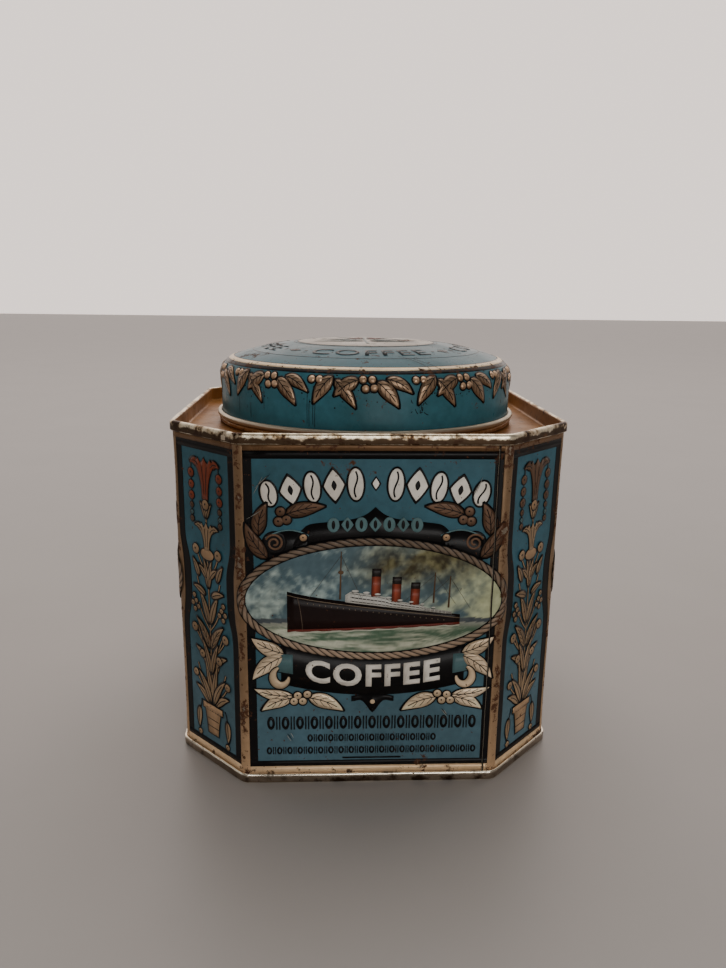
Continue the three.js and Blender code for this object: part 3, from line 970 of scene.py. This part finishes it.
def lay_ribbon(prints, s):
    """The black ribbon under the oval: it hangs in a parabola with a pointed drop under its middle,
    and its ends are turned back in rolls that thin out as a sine."""
    x = np.linspace(-27.5, 27.5, 31)
    hang = ribbon_hang * x * x
    lay(prints, field(s + x, 29.6 + hang, 43.6 + hang, 3), 9, black)
    for side in (-1, 1):
        x = np.linspace(24.0, 29.5, 7)
        lay(prints, field(s + side * x, 36.6 + 0.2 * (x - 24), 43.0 + 0.1 * (x - 24)), 11, dull_teal, 0.8)
        lay_line(prints, [[s + side * 24.0, 36.5], [s + side * 29.6, 37.7]], 0.3, 12)
        turn = np.linspace(-0.3, 4.1, 22)
        roll = np.stack([s + side * (27.6 + 2.4 * np.cos(turn - 1.0)), 36.0 - 2.9 * np.sin(turn - 1.0)], 1)
        width = 2.5 * np.sin(np.linspace(0.25, 2.9, 22))
        lay_line(prints, roll, width + 0.7, 12)
        lay(prints, stroke(roll, width, 4), 13, pale_gold, np.array([[0.6, 0.9, 1.1, 0.9]]), 0.2, 0.04)
    x = np.linspace(-6.4, 6.4, 17)
    tail = 28.1 - 3.9 * np.exp(-((np.abs(x) / 2.6) ** 1.5)) - 0.55 * np.cos(x)
    lay(prints, field(s + x, tail, np.full_like(x, 30.0) - 0.02 * x * x), 9, black)
    lay(prints, disc((s, 27.3), 0.75, 0.75, 5), 10, pale_gold)


def lay_face(prints, middle):
    """The whole print of one broad face about its middle s."""
    s = middle + oval_s
    lay_title(prints, s)
    lay_cartouche(prints, s)
    lay_sprays(prints, s)
    u, v = disc((0.0, 0.0), oval_wide - 0.5, oval_high - 0.5, 141)
    u, v = u[:, ::2], v[:, ::2]
    lay(prints, (s + u, oval_z + v), 15, paint_sea(u, v))
    lay_ship(prints, s, oval_z, 16)
    lay_rope(prints, s, oval_z, oval_wide, oval_high, 21)
    lay_ribbon(prints, s)
    lay_bead_and_reel(prints, s, 20.3, 33.0, 4.4, 15)
    lay_bead_and_reel(prints, s, 15.1, 20.5, 2.5, 13)
    lay_bead_and_reel(prints, s, 10.9, 33.0, 2.5, 21)
    lay_line(prints, [[s - 9, 8.2], [s + 9, 8.2]], 0.5, 6)


for k, face_name in enumerate(("front_print", "right_print", "back_print", "left_print")):
    face_prints = []
    lay_face(face_prints, k * face_pitch)
    print_piece(face_name, face_prints, on_can, "can", can_rub, floor_glow)

# Ribbon word
#
# The one word on the tin names what it holds. It is printed on the ribbon of each broad face, in
# cream ink and plain wide capitals, over the ribbon's black.


def word_shape(text, wide, high, heavy):
    """A word in the built-in letters as points and triangles, stretched to a width and a height
    about its own middle."""
    lettering = bpy.data.curves.new("lettering", "FONT")
    lettering.body = text
    lettering.resolution_u = 4
    lettering.offset = heavy
    lettering.space_character = 1.12
    stencil = bpy.data.objects.new("lettering", lettering)
    scene.collection.objects.link(stencil)
    bpy.context.view_layer.update()
    flat = bpy.data.meshes.new_from_object(stencil)
    flat.calc_loop_triangles()
    points = np.empty(len(flat.vertices) * 3)
    flat.vertices.foreach_get("co", points)
    points = points.reshape(-1, 3)[:, :2]
    triangles = np.empty(len(flat.loop_triangles) * 3, dtype=np.int32)
    flat.loop_triangles.foreach_get("vertices", triangles)
    bpy.data.objects.remove(stencil)
    bpy.data.curves.remove(lettering)
    bpy.data.meshes.remove(flat)
    lowest, highest = points.min(axis=0), points.max(axis=0)
    points = (points - (lowest + highest) / 2) / (highest - lowest) * [wide, high]
    triangles = triangles.reshape(-1, 3)
    a, b, c = (points[triangles[:, k]] for k in range(3))
    turned = (b[:, 0] - a[:, 0]) * (c[:, 1] - a[:, 1]) < (b[:, 1] - a[:, 1]) * (c[:, 0] - a[:, 0])
    triangles[turned] = triangles[turned][:, ::-1]
    return points, triangles


def word_piece(name, placed, triangles, ink, body, rubbed):
    """Copies of one word, already placed, joined into one film with the same wear all over."""
    faces = np.vstack([triangles + k * len(copy) for k, copy in enumerate(placed)])
    points = np.vstack(placed)
    paints = {
        "ink": np.broadcast_to(ink, points.shape),
        "shine": np.zeros(len(points)),
        "wear_and_sheen": np.full(len(points), rubbed),
    }
    film_piece(name, points, faces, paints, body)


word, triangles = word_shape("COFFEE", 40.5, 7.4, 0.035)
word_z = 36.0 + word[:, 1] + ribbon_hang * word[:, 0] ** 2
word_lift = first_lift + 11 * level_step
placed = [on_can(k * face_pitch + oval_s + word[:, 0], word_z, word_lift) for k in range(4)]
word_piece("ribbon_words", placed, triangles, cream, "can", 0.2)

# Corner faces
#
# A potted flowering stem climbs each corner face, with pointed leaves, buds and berries, and two
# trumpet flowers over them. A string of beads hangs from each side of the upper flower.

red_brown = (0.300, 0.068, 0.032)
plant_gold = (0.39, 0.265, 0.158)


def lay_trumpet(prints, middle, base_z, top_z, foot_half, lip_half, colour):
    """A flower seen from the side: its half width grows as a power of the height, and its lip is
    cut into a middle petal and two that curl over."""
    x = np.linspace(-1, 1, 11)
    up = np.linspace(0, 1, 8)
    spread = foot_half + (lip_half - foot_half) * up**2.2
    scallop = (up**3)[None, :] * (0.9 * np.cos(3 * np.pi * x) - 0.5 * x**2)[:, None]
    light = 1.05 - 0.35 * np.abs(np.sin(1.5 * np.pi * x))[:, None] + 0 * scallop
    for grow, level, ink, shade, shine in ((0.42, 8, black, 1.0, 0.0), (0.0, 10, colour, light, 0.25)):
        rise = base_z - grow + (top_z - base_z + 2 * grow) * up
        grid = (middle + x[:, None] * (spread + grow)[None, :], rise[None, :] + scallop)
        lay(prints, grid, level, ink, shade, shine)
    for share in (-0.34, 0.34):
        vein = np.stack([middle + share * spread, base_z + (top_z - base_z) * up], 1)
        lay_line(prints, vein[1:7], 0.2, 12)


def lay_pot(prints, middle):
    """The pot at the foot: its sides spread as a power of the height up to a straight rim, it is
    darker away from the middle, and two lines run across it."""
    x = np.linspace(-1, 1, 9)[:, None]
    rise = np.linspace(10.2, 18.8, 7)
    spread = 2.5 + 1.5 * ((rise - 10.2) / 8.6) ** 1.4
    for grow, level, colour in ((0.45, 10, black), (0.0, 11, gold)):
        s_grid = middle + x * (spread + grow)[None, :]
        z_grid = np.broadcast_to(rise + grow * np.linspace(-1, 1, 7), s_grid.shape)
        light = (1.0 - 0.35 * np.abs(x - 0.2)) + 0 * z_grid
        lay(prints, (s_grid, z_grid), level, colour, light, 0.25)
        rim_s = middle + x * (4.9 + grow) + np.zeros((1, 2))
        rim_z = 19.3 + np.array([[-1, 1]]) * (0.95 + grow) + 0 * x
        lay(prints, (rim_s, rim_z), level + 1, colour, 1.05, 0.25)
    for z in (12.6, 15.2):
        lay_line(prints, [[middle - 2.9, z], [middle + 2.9, z]], 0.25, 13)


def lay_corner(prints, middle, bloom):
    """The whole print of one corner face about its middle s, its top flower in a given colour."""

    def leaf(side, base, tip, width, rise, colour=plant_gold, tier=0):
        """A leaf on one side of the stem, its points given from the middle; tiers overlap."""
        start, stop = (middle + side * base[0], base[1]), (middle + side * tip[0], tip[1])
        lay_leaf(prints, start, stop, width, side * rise, 6 + 4 * tier, colour, outline=0.95)

    def stalk(start, stop, rise=0.0):
        """A bowed stalk, its points given from the middle: a gold line on a black one."""
        path = bow((middle + start[0], start[1]), (middle + stop[0], stop[1]), rise)
        lay_line(prints, path, 1.0, 4)
        lay_line(prints, path, 0.36, 5, plant_gold)

    stalk((0, 19), (0, 87))
    for side in (-1, 1):
        for foot_z, end, rise in (
            (50, (5.6, 62.5), 0.5),
            (36, (6.2, 46), 0.8),
            (46, (5.2, 54), 0.6),
            (22, (7.0, 33), 0.9),
        ):
            stalk((0, foot_z), (side * end[0], end[1]), -side * rise)
        leaf(side, (2.8, 97.6), (6.9, 98.4), 2.6, 1.1, bloom)
        leaf(side, (1.6, 77.6), (5.6, 79.2), 2.0, 0.9)
        leaf(side, (0.3, 82.2), (2.6, 86.6), 1.6, 0.4)
        for tier, base, tip, width, rise in (
            (0, (0.3, 60.0), (1.9, 69.0), 2.0, 0.4),
            (0, (0.8, 63.0), (4.6, 66.6), 2.0, 0.5),
            (0, (0.4, 48.2), (4.3, 58.0), 2.6, 0.4),
            (0, (0.5, 33.5), (7.6, 38.6), 2.8, 0.7),
            (0, (0.4, 21.0), (3.0, 35.0), 2.4, 0.5),
            (0, (1.8, 20.5), (8.2, 25.0), 2.5, 0.8),
            (1, (4.6, 63.0), (7.2, 68.2), 2.2, 0.4),
            (1, (1.6, 57.5), (7.2, 59.4), 2.2, 0.4),
            (1, (0.5, 40.0), (6.6, 48.6), 3.1, 0.9),
            (1, (0.8, 21.0), (6.6, 30.5), 2.5, 0.8),
            (2, (0.4, 31.5), (3.8, 42.0), 2.2, 0.6),
        ):
            leaf(side, base, tip, width, rise, tier=tier)
        for x, z in ((5.2, 52.6), (7.0, 51.4), (6.3, 54.3), (8.0, 53.3), (7.2, 56.0)):
            lay_berry(prints, (middle + side * x, z), 0.75, 15, plant_gold)
        for x, z, radius in ((5.4, 71.6, 1.5), (7.6, 45.2, 1.4), (4.2, 37.0, 1.3), (8.0, 29.4, 1.2)):
            stalk((0.4, z - 8), (side * x, z), -side * 0.7)
            lay_berry(prints, (middle + side * x, z), radius, 15, plant_gold)
        lay_line(prints, [[middle + side * 6.6, 99.0], [middle + side * 6.8, 80.0]], 0.5, 4)
        for z, radius, colour in (
            (95.2, 1.3, bloom),
            (91.6, 1.2, bloom),
            (88.2, 1.25, bloom),
            (85.2, 0.8, bark),
            (82.9, 0.65, dull_teal),
            (80.9, 0.85, bark),
        ):
            lay_berry(prints, (middle + side * 6.75, z), radius, 6, colour)
        leaf(side, (7.0, 17.2), (7.4, 10.2), 2.6, 0.3)
        hanger = bow((middle + side * 6.0, 20.5), (middle + side * 7.0, 17.0), 0.3, 4)
        lay_line(prints, hanger, 0.5, 4)
        lay_berry(prints, (middle + side * 7.1, 8.4), 0.9, 8, plant_gold)
    lay_trumpet(prints, middle, 88.0, 99.6, 1.3, 4.5, bloom)
    lay_trumpet(prints, middle, 72.0, 79.8, 1.1, 3.4, plant_gold)
    lay_berry(prints, (middle, 86.3), 1.5, 9, gold)
    s_grid, z_grid = disc((middle, 70.8), 3.1, 1.7, 9)
    lay(prints, disc((middle, 70.8), 3.55, 2.15, 9), 8, black)
    lay(prints, (s_grid, z_grid), 9, gold, 0.95 + 0.12 * (z_grid - 70.8), 0.25)
    lay_pot(prints, middle)


corner_prints = []
for k, bloom in enumerate((bark, plant_gold, plant_gold, red_brown)):
    lay_corner(corner_prints, (k + 0.5) * face_pitch, bloom)
print_piece("corner_print", corner_prints, on_can, "can", can_rub, floor_glow)

# Marks of use on the can
#
# The groove of the lock seam shows through the print as a dark line with a bright rubbed edge. A
# few scratches cross the print, some down to the pale metal and some dark with dirt.

marks = []
scratch_tone, rubbed_edge = (0.33, 0.33, 0.30), (0.30, 0.27, 0.22)
rise = np.linspace(print_low - 0.1, print_high + 0.1, 60)
wander = 0.05 * np.sin(rise * 0.5) + 0.04 * np.sin(rise * 1.7)
lay_line(marks, np.stack([groove + wander, rise], 1), 0.34, 27)
lay_line(marks, np.stack([groove - 0.26 + wander, rise], 1), 0.13, 28, rubbed_edge, 1.0, 0.7)
dice = np.random.default_rng(12)
for start, stop, count, spread in (
    ((-33.5, 93.5), (-30.2, 98.2), 3, 0.8),
    ((-32.5, 88.0), (-36.0, 84.5), 2, 0.8),
    ((-25.2, 16.8), (-23.9, 14.6), 3, 0.5),
    ((22.0, 25.0), (23.8, 22.6), 3, 0.5),
    ((15.4, 4.4), (17.2, 6.2), 2, 0.6),
    ((28.0, 92.5), (30.5, 96.5), 2, 0.6),
    ((113.0, 60.0), (118.0, 48.0), 2, 1.0),
    ((-100.0, 80.0), (-96.0, 71.0), 2, 1.0),
    ((205.0, 40.0), (214.0, 52.0), 3, 1.0),
):
    for k in range(count):
        shift = dice.normal(0, spread, 2)
        path = bow(np.asarray(start) + shift, np.asarray(stop) + shift[::-1], dice.normal(0, 0.12), 10)
        width = 0.17 * np.sin(np.linspace(0.15, 3.0, 11))
        lay_line(marks, path, width, 27 + k % 2, black if k % 2 else scratch_tone)
print_piece("seam_line_and_scratches", marks, on_can, "can", can_rub, floor_glow)

# Top end
#
# A stamped octagon of gold-lacquered tinplate with a flat deck and a round mouth. Its edge rises,
# rolls over the body's flange and is pressed flat. Wear has bared the crest of the rim, and the bare
# crest is also painted pale as a highlight. A thin painted highlight runs along the seam's foot, and
# the rim's outer face and its corners are darker brown.

lacquered_tin, tree, shader = new_finish("gold_lacquered_tin", Specular_IOR_Level=0.08)
gilt_pale, gilt_dark = (0.38, 0.175, 0.052, 1), (0.23, 0.095, 0.028, 1)
speck_brown, darkened_brown = (0.085, 0.040, 0.018, 1), (0.060, 0.036, 0.020, 1)
rust_brown = (0.040, 0.019, 0.010, 1)
crest_pale, crest_brown = (0.94, 0.84, 0.64, 1), (0.40, 0.27, 0.14, 1)
wear_and_sheen = painted(tree, "wear_and_sheen")
darkening = painted(tree, "darkening")
cloudy = noise(tree, 48.0, 8.0, 0.62)
patchy = noise(tree, 150.0, 9.0, 0.68)
ragged = minus(tree, noise(tree, 260.0, 8.0, 0.65), 0.5)
tone = blend_colour(tree, between(tree, cloudy, 0.35, 0.65), gilt_pale, gilt_dark)
speck = between(tree, noise(tree, 520.0, 4.0), 0.60, 0.66)
tone = blend_colour(tree, times(tree, speck, 0.7), tone, speck_brown)
# Darker brown where the mesh says so: on the rim's outer face, at its corners and on the neck ring's bead.
darkened = between(tree, plus(tree, darkening, minus(tree, patchy, 0.5)), 0.38, 0.60)
tone = blend_colour(tree, darkened, tone, darkened_brown)
# The crest's pale tone is bare tin and also a painted highlight. The thin pale line at the seam's foot is a
# painted highlight.
bared_and_highlit = between(tree, plus(tree, wear_and_sheen, ragged), 0.44, 0.60)
bare_and_highlight_tone = blend_colour(tree, between(tree, patchy, 0.45, 0.58), crest_pale, crest_brown)
tone = blend_colour(tree, bared_and_highlit, tone, bare_and_highlight_tone)
rusted = between(tree, plus(tree, patchy, times(tree, darkening, 0.10)), 0.62, 0.67)
tree.links.new(blend_colour(tree, rusted, tone, rust_brown), shader.inputs["Base Color"])
metal = plus(tree, between(tree, cloudy, 0.3, 0.7, 0.36, 0.2), times(tree, darkened, 0.12))
tree.links.new(larger(tree, metal, times(tree, bared_and_highlit, 0.9)), shader.inputs["Metallic"])
dull = between(tree, plus(tree, patchy, times(tree, darkened, -0.1)), 0.35, 0.9, 0.28, 0.55)
tree.links.new(dull, shader.inputs["Roughness"])
roughen(tree, shader, 0.4, 0.00012, minus(tree, times(tree, patchy, 0.5), times(tree, darkened, 0.3)))

deck = rim_top - 5.0 - sheet / 2
mouth_radius = 48.16
round_until = 58.0
deck_bend = 0.9
deck_line = np.stack([np.linspace(mouth_radius, 58.4, 9), np.full(9, deck)], axis=1)
deck_corner = bend(end_line - deck_bend, deck + deck_bend, deck_bend, -90, 0, 6)[1:]
top_line = np.vstack([deck_line, deck_corner, end_rim(-3.4) + [0, rim_top]])
upper, lower = strip_sides(top_line)
outline = np.vstack([upper, lower[::-1]])
around = columns(18, 9)
press = (knocks(around, 9, 30, 0.5) + 0.2 * near_fold(around, 3))[:, None]
edge = np.clip((outline[None, :, 0] - end_line + 0.3) / 0.5, 0, 1)
reach = outline[None, :, 0] - wall_out - 0.5 * press * edge
points = round_can(around[:, None], reach, outline[None, :, 1])

# Towards the mouth the octagon passes into a circle of the same reach.
away = np.linalg.norm(points[..., :2], axis=-1, keepdims=True)
circle = points[..., :2] / away * outline[None, :, :1]
share = np.clip((round_until - outline[:, 0]) / (round_until - mouth_radius), 0, 1)[None, :, None] ** 0.7
points[..., :2] = points[..., :2] * (1 - share) + circle * share
# The crest is worn bare and painted pale as a highlight. The line along the seam's foot is a painted
# highlight.
crest = np.clip((points[..., 2] - rim_top + 1.3) / 0.4, 0, 1) * edge
foot_highlight = np.clip(1 - np.abs(points[..., 2] - rim_top + seam_height - 0.2) / 0.4, 0, 1) * edge
outside = edge * (outline[None, :, 0] > end_line + 0.6)
top_end = make_piece(
    "top_end_fine",
    points,
    grid_faces(len(around), len(outline), wrap_rows=True, wrap_across=True),
    [lacquered_tin],
    "can",
    {
        "wear_and_sheen": np.maximum(0.64 * crest, 0.60 * foot_highlight).ravel(),
        "darkening": np.clip(0.70 * outside + 0.38 * near_fold(around, 9)[:, None] * edge, 0, 1).ravel(),
    },
    poles=True,
)
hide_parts("top_end")

# Neck ring
#
# A turned collar of lacquered tinplate that the lid slips over. Its foot goes down through the
# mouth and is flanged under the deck, a bead rests on the deck, and its top edge is hemmed inside.

neck_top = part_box("neck_ring")[1].z / mm
bead_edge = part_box("neck_ring")[1].x / mm
deck_face = deck + sheet / 2
neck_wall = 48.92
hem_radius = 0.6
throat_wall = neck_wall - 2 * hem_radius
bead_radius = (1.9 - 2 * sheet / 2 - 0.05) / 2
hem_top = neck_top - sheet / 2 - hem_radius
neck_line = np.vstack(
    [
        [[throat_wall, hem_top - 1.5]],
        bend(throat_wall + hem_radius, hem_top, hem_radius, 180, 0, 12),
        [[neck_wall, z] for z in np.linspace(hem_top - 1.0, deck_face + 2.4, 8)],
        bend(bead_edge - sheet / 2 - bead_radius, deck_face + 0.19 + bead_radius, bead_radius, 90, -90, 12),
        [[throat_wall + 0.3, deck_face + 0.19], [throat_wall, deck_face - 0.05]],
        bend(throat_wall + 0.3, deck_face - 0.17, 0.3, 180, 270, 4),
        [[throat_wall + 2.2, deck_face - 0.47]],
    ]
)


def turned(line, steps=192, to_axis=False):
    """A strip of sheet turned about the can's axis: its outline at each of the steps round a full
    circle. A strip that starts on the axis is left open there, and its points meet at a pole."""
    upper, lower = strip_sides(line)
    outline = np.vstack([upper, lower[::-1]])
    if to_axis:
        outline[[0, -1], 0] = 0
    angle = np.linspace(0, 2 * np.pi, steps, endpoint=False)[:, None]
    x, z = outline[None, :, 0], outline[None, :, 1] + 0 * angle
    points = np.stack([x * np.sin(angle), -x * np.cos(angle), z], axis=-1)
    return points, grid_faces(steps, len(outline), wrap_rows=True, wrap_across=not to_axis), upper


points, faces, upper = turned(neck_line)
bead_crest = np.clip((np.linalg.norm(points[..., :2], axis=-1) - neck_wall - 0.9) / 0.5, 0, 1)
neck_ring = make_piece(
    "neck_ring_fine",
    points,
    faces,
    [lacquered_tin],
    "can",
    {"wear_and_sheen": 0.42 * bead_crest.ravel(), "darkening": 0.30 * bead_crest.ravel()},
    poles=True,
)
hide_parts("neck_ring")

# Sealing compound
#
# A thin rubbery lining compound lies in the roof of each double seam, between the end and the
# body's flange.

compound_finish, tree, shader = new_finish("sealing_compound_finish", Roughness=0.7)
pale_rubber, dark_rubber = (0.30, 0.28, 0.23, 1), (0.17, 0.155, 0.13, 1)
compound_tone = blend_colour(tree, noise(tree, 300.0, 5.0), pale_rubber, dark_rubber)
tree.links.new(compound_tone, shader.inputs["Base Color"])
for node_name in ("top_seam_compound", "bottom_seam_compound"):
    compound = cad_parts[node_name]
    for place in range(len(compound.material_slots)):
        compound.material_slots[place].material = compound_finish

# Lid
#
# One drawn cap of printed tinplate: a low dome, a round shoulder, and a skirt that slips over the
# neck ring. Its cut edge is curled outwards, so the curl shows the lacquered inner face.

lid_teal = (0.043, 0.157, 0.200)
lid_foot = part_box("lid")[0].z / mm
lid_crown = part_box("lid")[1].z / mm
curl_radius = 0.8
lid_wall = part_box("lid")[1].x / mm - sheet / 2 - 2 * curl_radius
skirt_top = lid_foot + 13.9
shoulder_radius = 6.0 - sheet / 2
shoulder = bend(lid_wall - shoulder_radius, skirt_top, shoulder_radius, 68, 0, 16)
brow_x, brow_z = shoulder[0]
print_room = 0.31
dome_rise = lid_crown - sheet / 2 - print_room - brow_z
dome_power = 3.2
share = np.linspace(0, 1, 41)[:-1]
dome = np.stack([brow_x * share, brow_z + dome_rise * (1 - share**dome_power)], axis=1)
skirt = np.stack([np.full(14, lid_wall), np.linspace(skirt_top, lid_foot + 1.4, 16)[1:-1]], axis=1)
curl = bend(lid_wall + curl_radius, lid_foot + sheet / 2 + curl_radius, curl_radius, 180, 480, 22)
points, faces, lid_skin_line = turned(np.vstack([dome, shoulder, skirt, curl]), 240, to_axis=True)
bare_side = np.arange(points.shape[1] - 1) >= len(lid_skin_line) - len(curl)
inner_face = np.tile(bare_side, (points.shape[0], 1)).ravel()
shallow = np.clip(points[..., 2] - brow_z + 0.5, 0, 1)
lid = make_piece(
    "lid_fine",
    points,
    faces,
    [printed_tin, inside_lacquer],
    "lid",
    {
        "ink": np.broadcast_to(lid_teal, (shallow.size, 3)),
        "shine": np.zeros(points[..., 0].size),
        "wear_and_sheen": 0.3 * shallow.ravel(),
    },
    finish_of=inner_face,
    poles=True,
)
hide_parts("lid")

# Lid printing
#
# A frieze of leaves and berries hangs from the shoulder, raised by a stamp. Over it run a black
# line and a gold line, and words with lozenges between stand round a pale medallion on the dome.

skin = lid_skin_line[: len(dome) + len(shoulder) + len(skirt)][::-1]
skin_step = np.gradient(skin, axis=0)
skin_step /= np.linalg.norm(skin_step, axis=1)[:, None]
skin_up = skin[0, 1] + np.concatenate([[0], np.cumsum(np.linalg.norm(np.diff(skin, axis=0), axis=1))])
skirt_out = lid_wall + sheet / 2


def on_lid(a, t, lift):
    """Points on the lid's outer face: a runs round the skirt from the front, and t up the skirt
    and over the shoulder, equal to z on the skirt. They are raised by lift along the normal."""
    reach = np.interp(t, skin_up, skin[:, 0]) + lift * np.interp(t, skin_up, skin_step[:, 1])
    height = np.interp(t, skin_up, skin[:, 1]) - lift * np.interp(t, skin_up, skin_step[:, 0])
    return np.stack([reach * np.sin(a / skirt_out), -reach * np.cos(a / skirt_out), height], axis=-1)


def on_dome(x, y, lift):
    """Points on the lid's dome above (x, y), on the power curve of its profile, raised by lift."""
    away = np.hypot(x, y) / brow_x
    steep = np.sqrt(1 + (dome_power * dome_rise / brow_x * away ** (dome_power - 1)) ** 2)
    height = brow_z + dome_rise * (1 - away**dome_power) + (sheet / 2 + lift) * steep
    return np.stack([x, y, height], axis=-1)


def lid_rub(a, t):
    """Wear on the lid: most on the turn of the shoulder."""
    return 0.75 * np.exp(-(((t - skirt_top - 5.5) / 2.0) ** 2))


stamped_gold, ring_gold = (0.42, 0.285, 0.185), (1.0, 0.80, 0.55)
lid_prints = []
run = np.linspace(-np.pi, np.pi, 241) * skirt_out
for low, high, level, colour, shine in (
    (125.3, 126.9, 1, black, 0.0),
    (126.8, 128.6, 2, ring_gold, 0.3),
    (128.6, 128.85, 3, black, 0.0),
):
    band = field(run, np.full_like(run, low), np.full_like(run, high), 5)
    bead = 0.10 * (shine > 0) * np.array([[0, 0.8, 1, 0.8, 0]])
    lay(lid_prints, band, level, colour, shine=shine, dome=bead)
dice = np.random.default_rng(31)
repeats = 10
repeat = 2 * np.pi * skirt_out / repeats
for k in range(repeats):
    at, top = (k - 0.055) * repeat, 122.9
    for x, z in ((-1.3, 0.7), (1.4, 0.7), (-0.5, -1.9), (2.0, -1.7), (14.5, 0.5), (16.9, 0.5)):
        s_grid, z_grid = disc((at + x, top + z), 1.08, 1.08, 7)
        lay(lid_prints, disc((at + x, top + z), 1.5, 1.5, 7), 7, black)
        bulge = 0.45 * (1 - ((s_grid - at - x) ** 2 + (z_grid - top - z) ** 2) / 1.17)
        # Each berry is painted lighter towards its top: a painted highlight on the stamped relief.
        lay(lid_prints, (s_grid, z_grid), 8, stamped_gold, 1.5 + 0.7 * (z_grid - top - z), 0.55, bulge)
    for base, tip, width, rise, level in (
        ((21.5, 0.5), (27.7, -7.6), 4.0, 0.5, 4),
        ((28.6, 0.6), (21.6, -4.2), 4.4, -0.7, 8),
        ((20.9, 1.5), (15.3, -6.6), 4.4, -0.6, 8),
        ((5.6, 0.8), (13.3, -3.4), 3.7, 0.8, 4),
        ((2.8, 0.0), (9.2, -7.4), 4.6, 0.6, 8),
    ):
        start, stop = (at + base[0], top + base[1]), (at + tip[0], top + tip[1])
        lay_leaf(lid_prints, start, stop, width, rise, level, stamped_gold, 0.32, 0.55)
    for x, z in zip(dice.uniform(-1.5, 29.6, 46), dice.normal(-1.0, 2.6, 46)):
        spot = dice.uniform(0.1, 0.26)
        hang = 0.9 * math.sin((x % 15.5) / 15.5 * math.pi)
        lay(lid_prints, disc((at + x, top + z - hang), spot, spot, 4), 1, black)

# Scratches on the skirt: a few long ones, a scuffed patch, and fine ones all round.
for x, low, high in (
    (-19.6, 110.2, 119.0),
    (-19.0, 109.4, 117.5),
    (-17.8, 110.0, 118.6),
    (-17.2, 109.0, 116.0),
):
    lay_line(lid_prints, bow((x, low), (x + 0.1, high), 0.1, 8), 0.13, 2)
for k in range(16):
    start = np.array([14.6, 115.0]) + dice.normal(0, 1.0, 2) * [1.3, 1.6]
    end = start + dice.normal(0, 1.0, 2) * [0.6, 1.0]
    lay_line(lid_prints, bow(start, end, 0.15, 4), 0.2, 2)
for turn in dice.uniform(0.6, 5.6, 24):
    start = np.array([turn * skirt_out, dice.uniform(108.8, 113.0)])
    end = start + [dice.normal(0, 0.2), dice.uniform(1, 6)]
    lay_line(lid_prints, bow(start, end, 0.1, 5), 0.12, 2)
print_piece("lid_frieze", lid_prints, on_lid, "lid", lid_rub)


def ring_band(inner, outer, rows=2):
    """A full ring between two radii, as a grid in the plane of the dome."""
    angle = np.linspace(0, 2 * np.pi, 121)[:, None]
    radius = np.linspace(inner, outer, rows)[None, :]
    return radius * np.sin(angle), -radius * np.cos(angle)


def dome_rub(x, y):
    """Wear on the dome, even all over it."""
    return np.full(np.shape(x), 0.35)


medallion_cream, sprig_green, slate = (0.56, 0.50, 0.42), (0.12, 0.17, 0.15), (0.045, 0.055, 0.06)
word_circle = 33.0
top_prints = []
lay(top_prints, ring_band(23.2, 23.7), 1, black)
lay(top_prints, ring_band(24.5, 24.75), 1, black)
x, y = disc((0, 0), 23.2, 23.2, 41)
lay(top_prints, (x, y), 1, medallion_cream, 0.85 + 0.3 * value_noise(x, y, 9.0, 14))
for side in (-1, 1):
    for base, tip, width, rise in (
        ((1.5, -9.5), (17.0, -7.0), 5.6, 0.9),
        ((1.5, -5.0), (15.5, 2.5), 5.6, 0.9),
        ((1.0, 1.0), (9.5, 12.0), 5.0, 0.9),
    ):
        start, stop = (side * base[0], base[1]), (side * tip[0], tip[1])
        lay_leaf(top_prints, start, stop, width, side * rise, 2, sprig_green)
    for x, y in ((2.1, 8.0), (4.4, 5.2), (2.4, 4.2)):
        lay_berry(top_prints, (side * x, y), 1.3, 6, red_brown)
lay_line(top_prints, bow((0, -17), (0, 10), 0.6, 16), np.linspace(1.1, 0.6, 17), 2, sprig_green)
for k in range(4):
    turn = (k + 0.5) * math.pi / 2
    centre = (word_circle * math.sin(turn), -word_circle * math.cos(turn))
    lay(top_prints, disc(centre, 2.6, 1.5, 7, 1.7, turn), 1, slate)
    for step in (-0.14, 0.14):
        near = (word_circle * math.sin(turn + step), -word_circle * math.cos(turn + step))
        lay(top_prints, disc(near, 0.55, 0.55, 5), 1, slate)
lay(top_prints, ring_band(38.6, 38.85), 1, slate)
for start, stop in (
    ((8.0, -36.0), (17.0, -43.5)),
    ((12.5, -38.0), (20.5, -43.0)),
    ((-20.0, 12.0), (-9.0, 19.0)),
):
    lay_line(top_prints, bow(start, stop, 0.4, 10), 0.16, 12)
print_piece("lid_top_print", top_prints, on_dome, "lid", dome_rub)

word, triangles = word_shape("COFFEE", 37.0, 6.0, 0.008)
radius = word_circle - word[:, 1]
placed = []
for k in range(4):
    turn = k * math.pi / 2 + word[:, 0] / word_circle
    placed.append(on_dome(radius * np.sin(turn), -radius * np.cos(turn), 0.13))
word_piece("lid_words", placed, triangles, slate, "lid", 0.3)
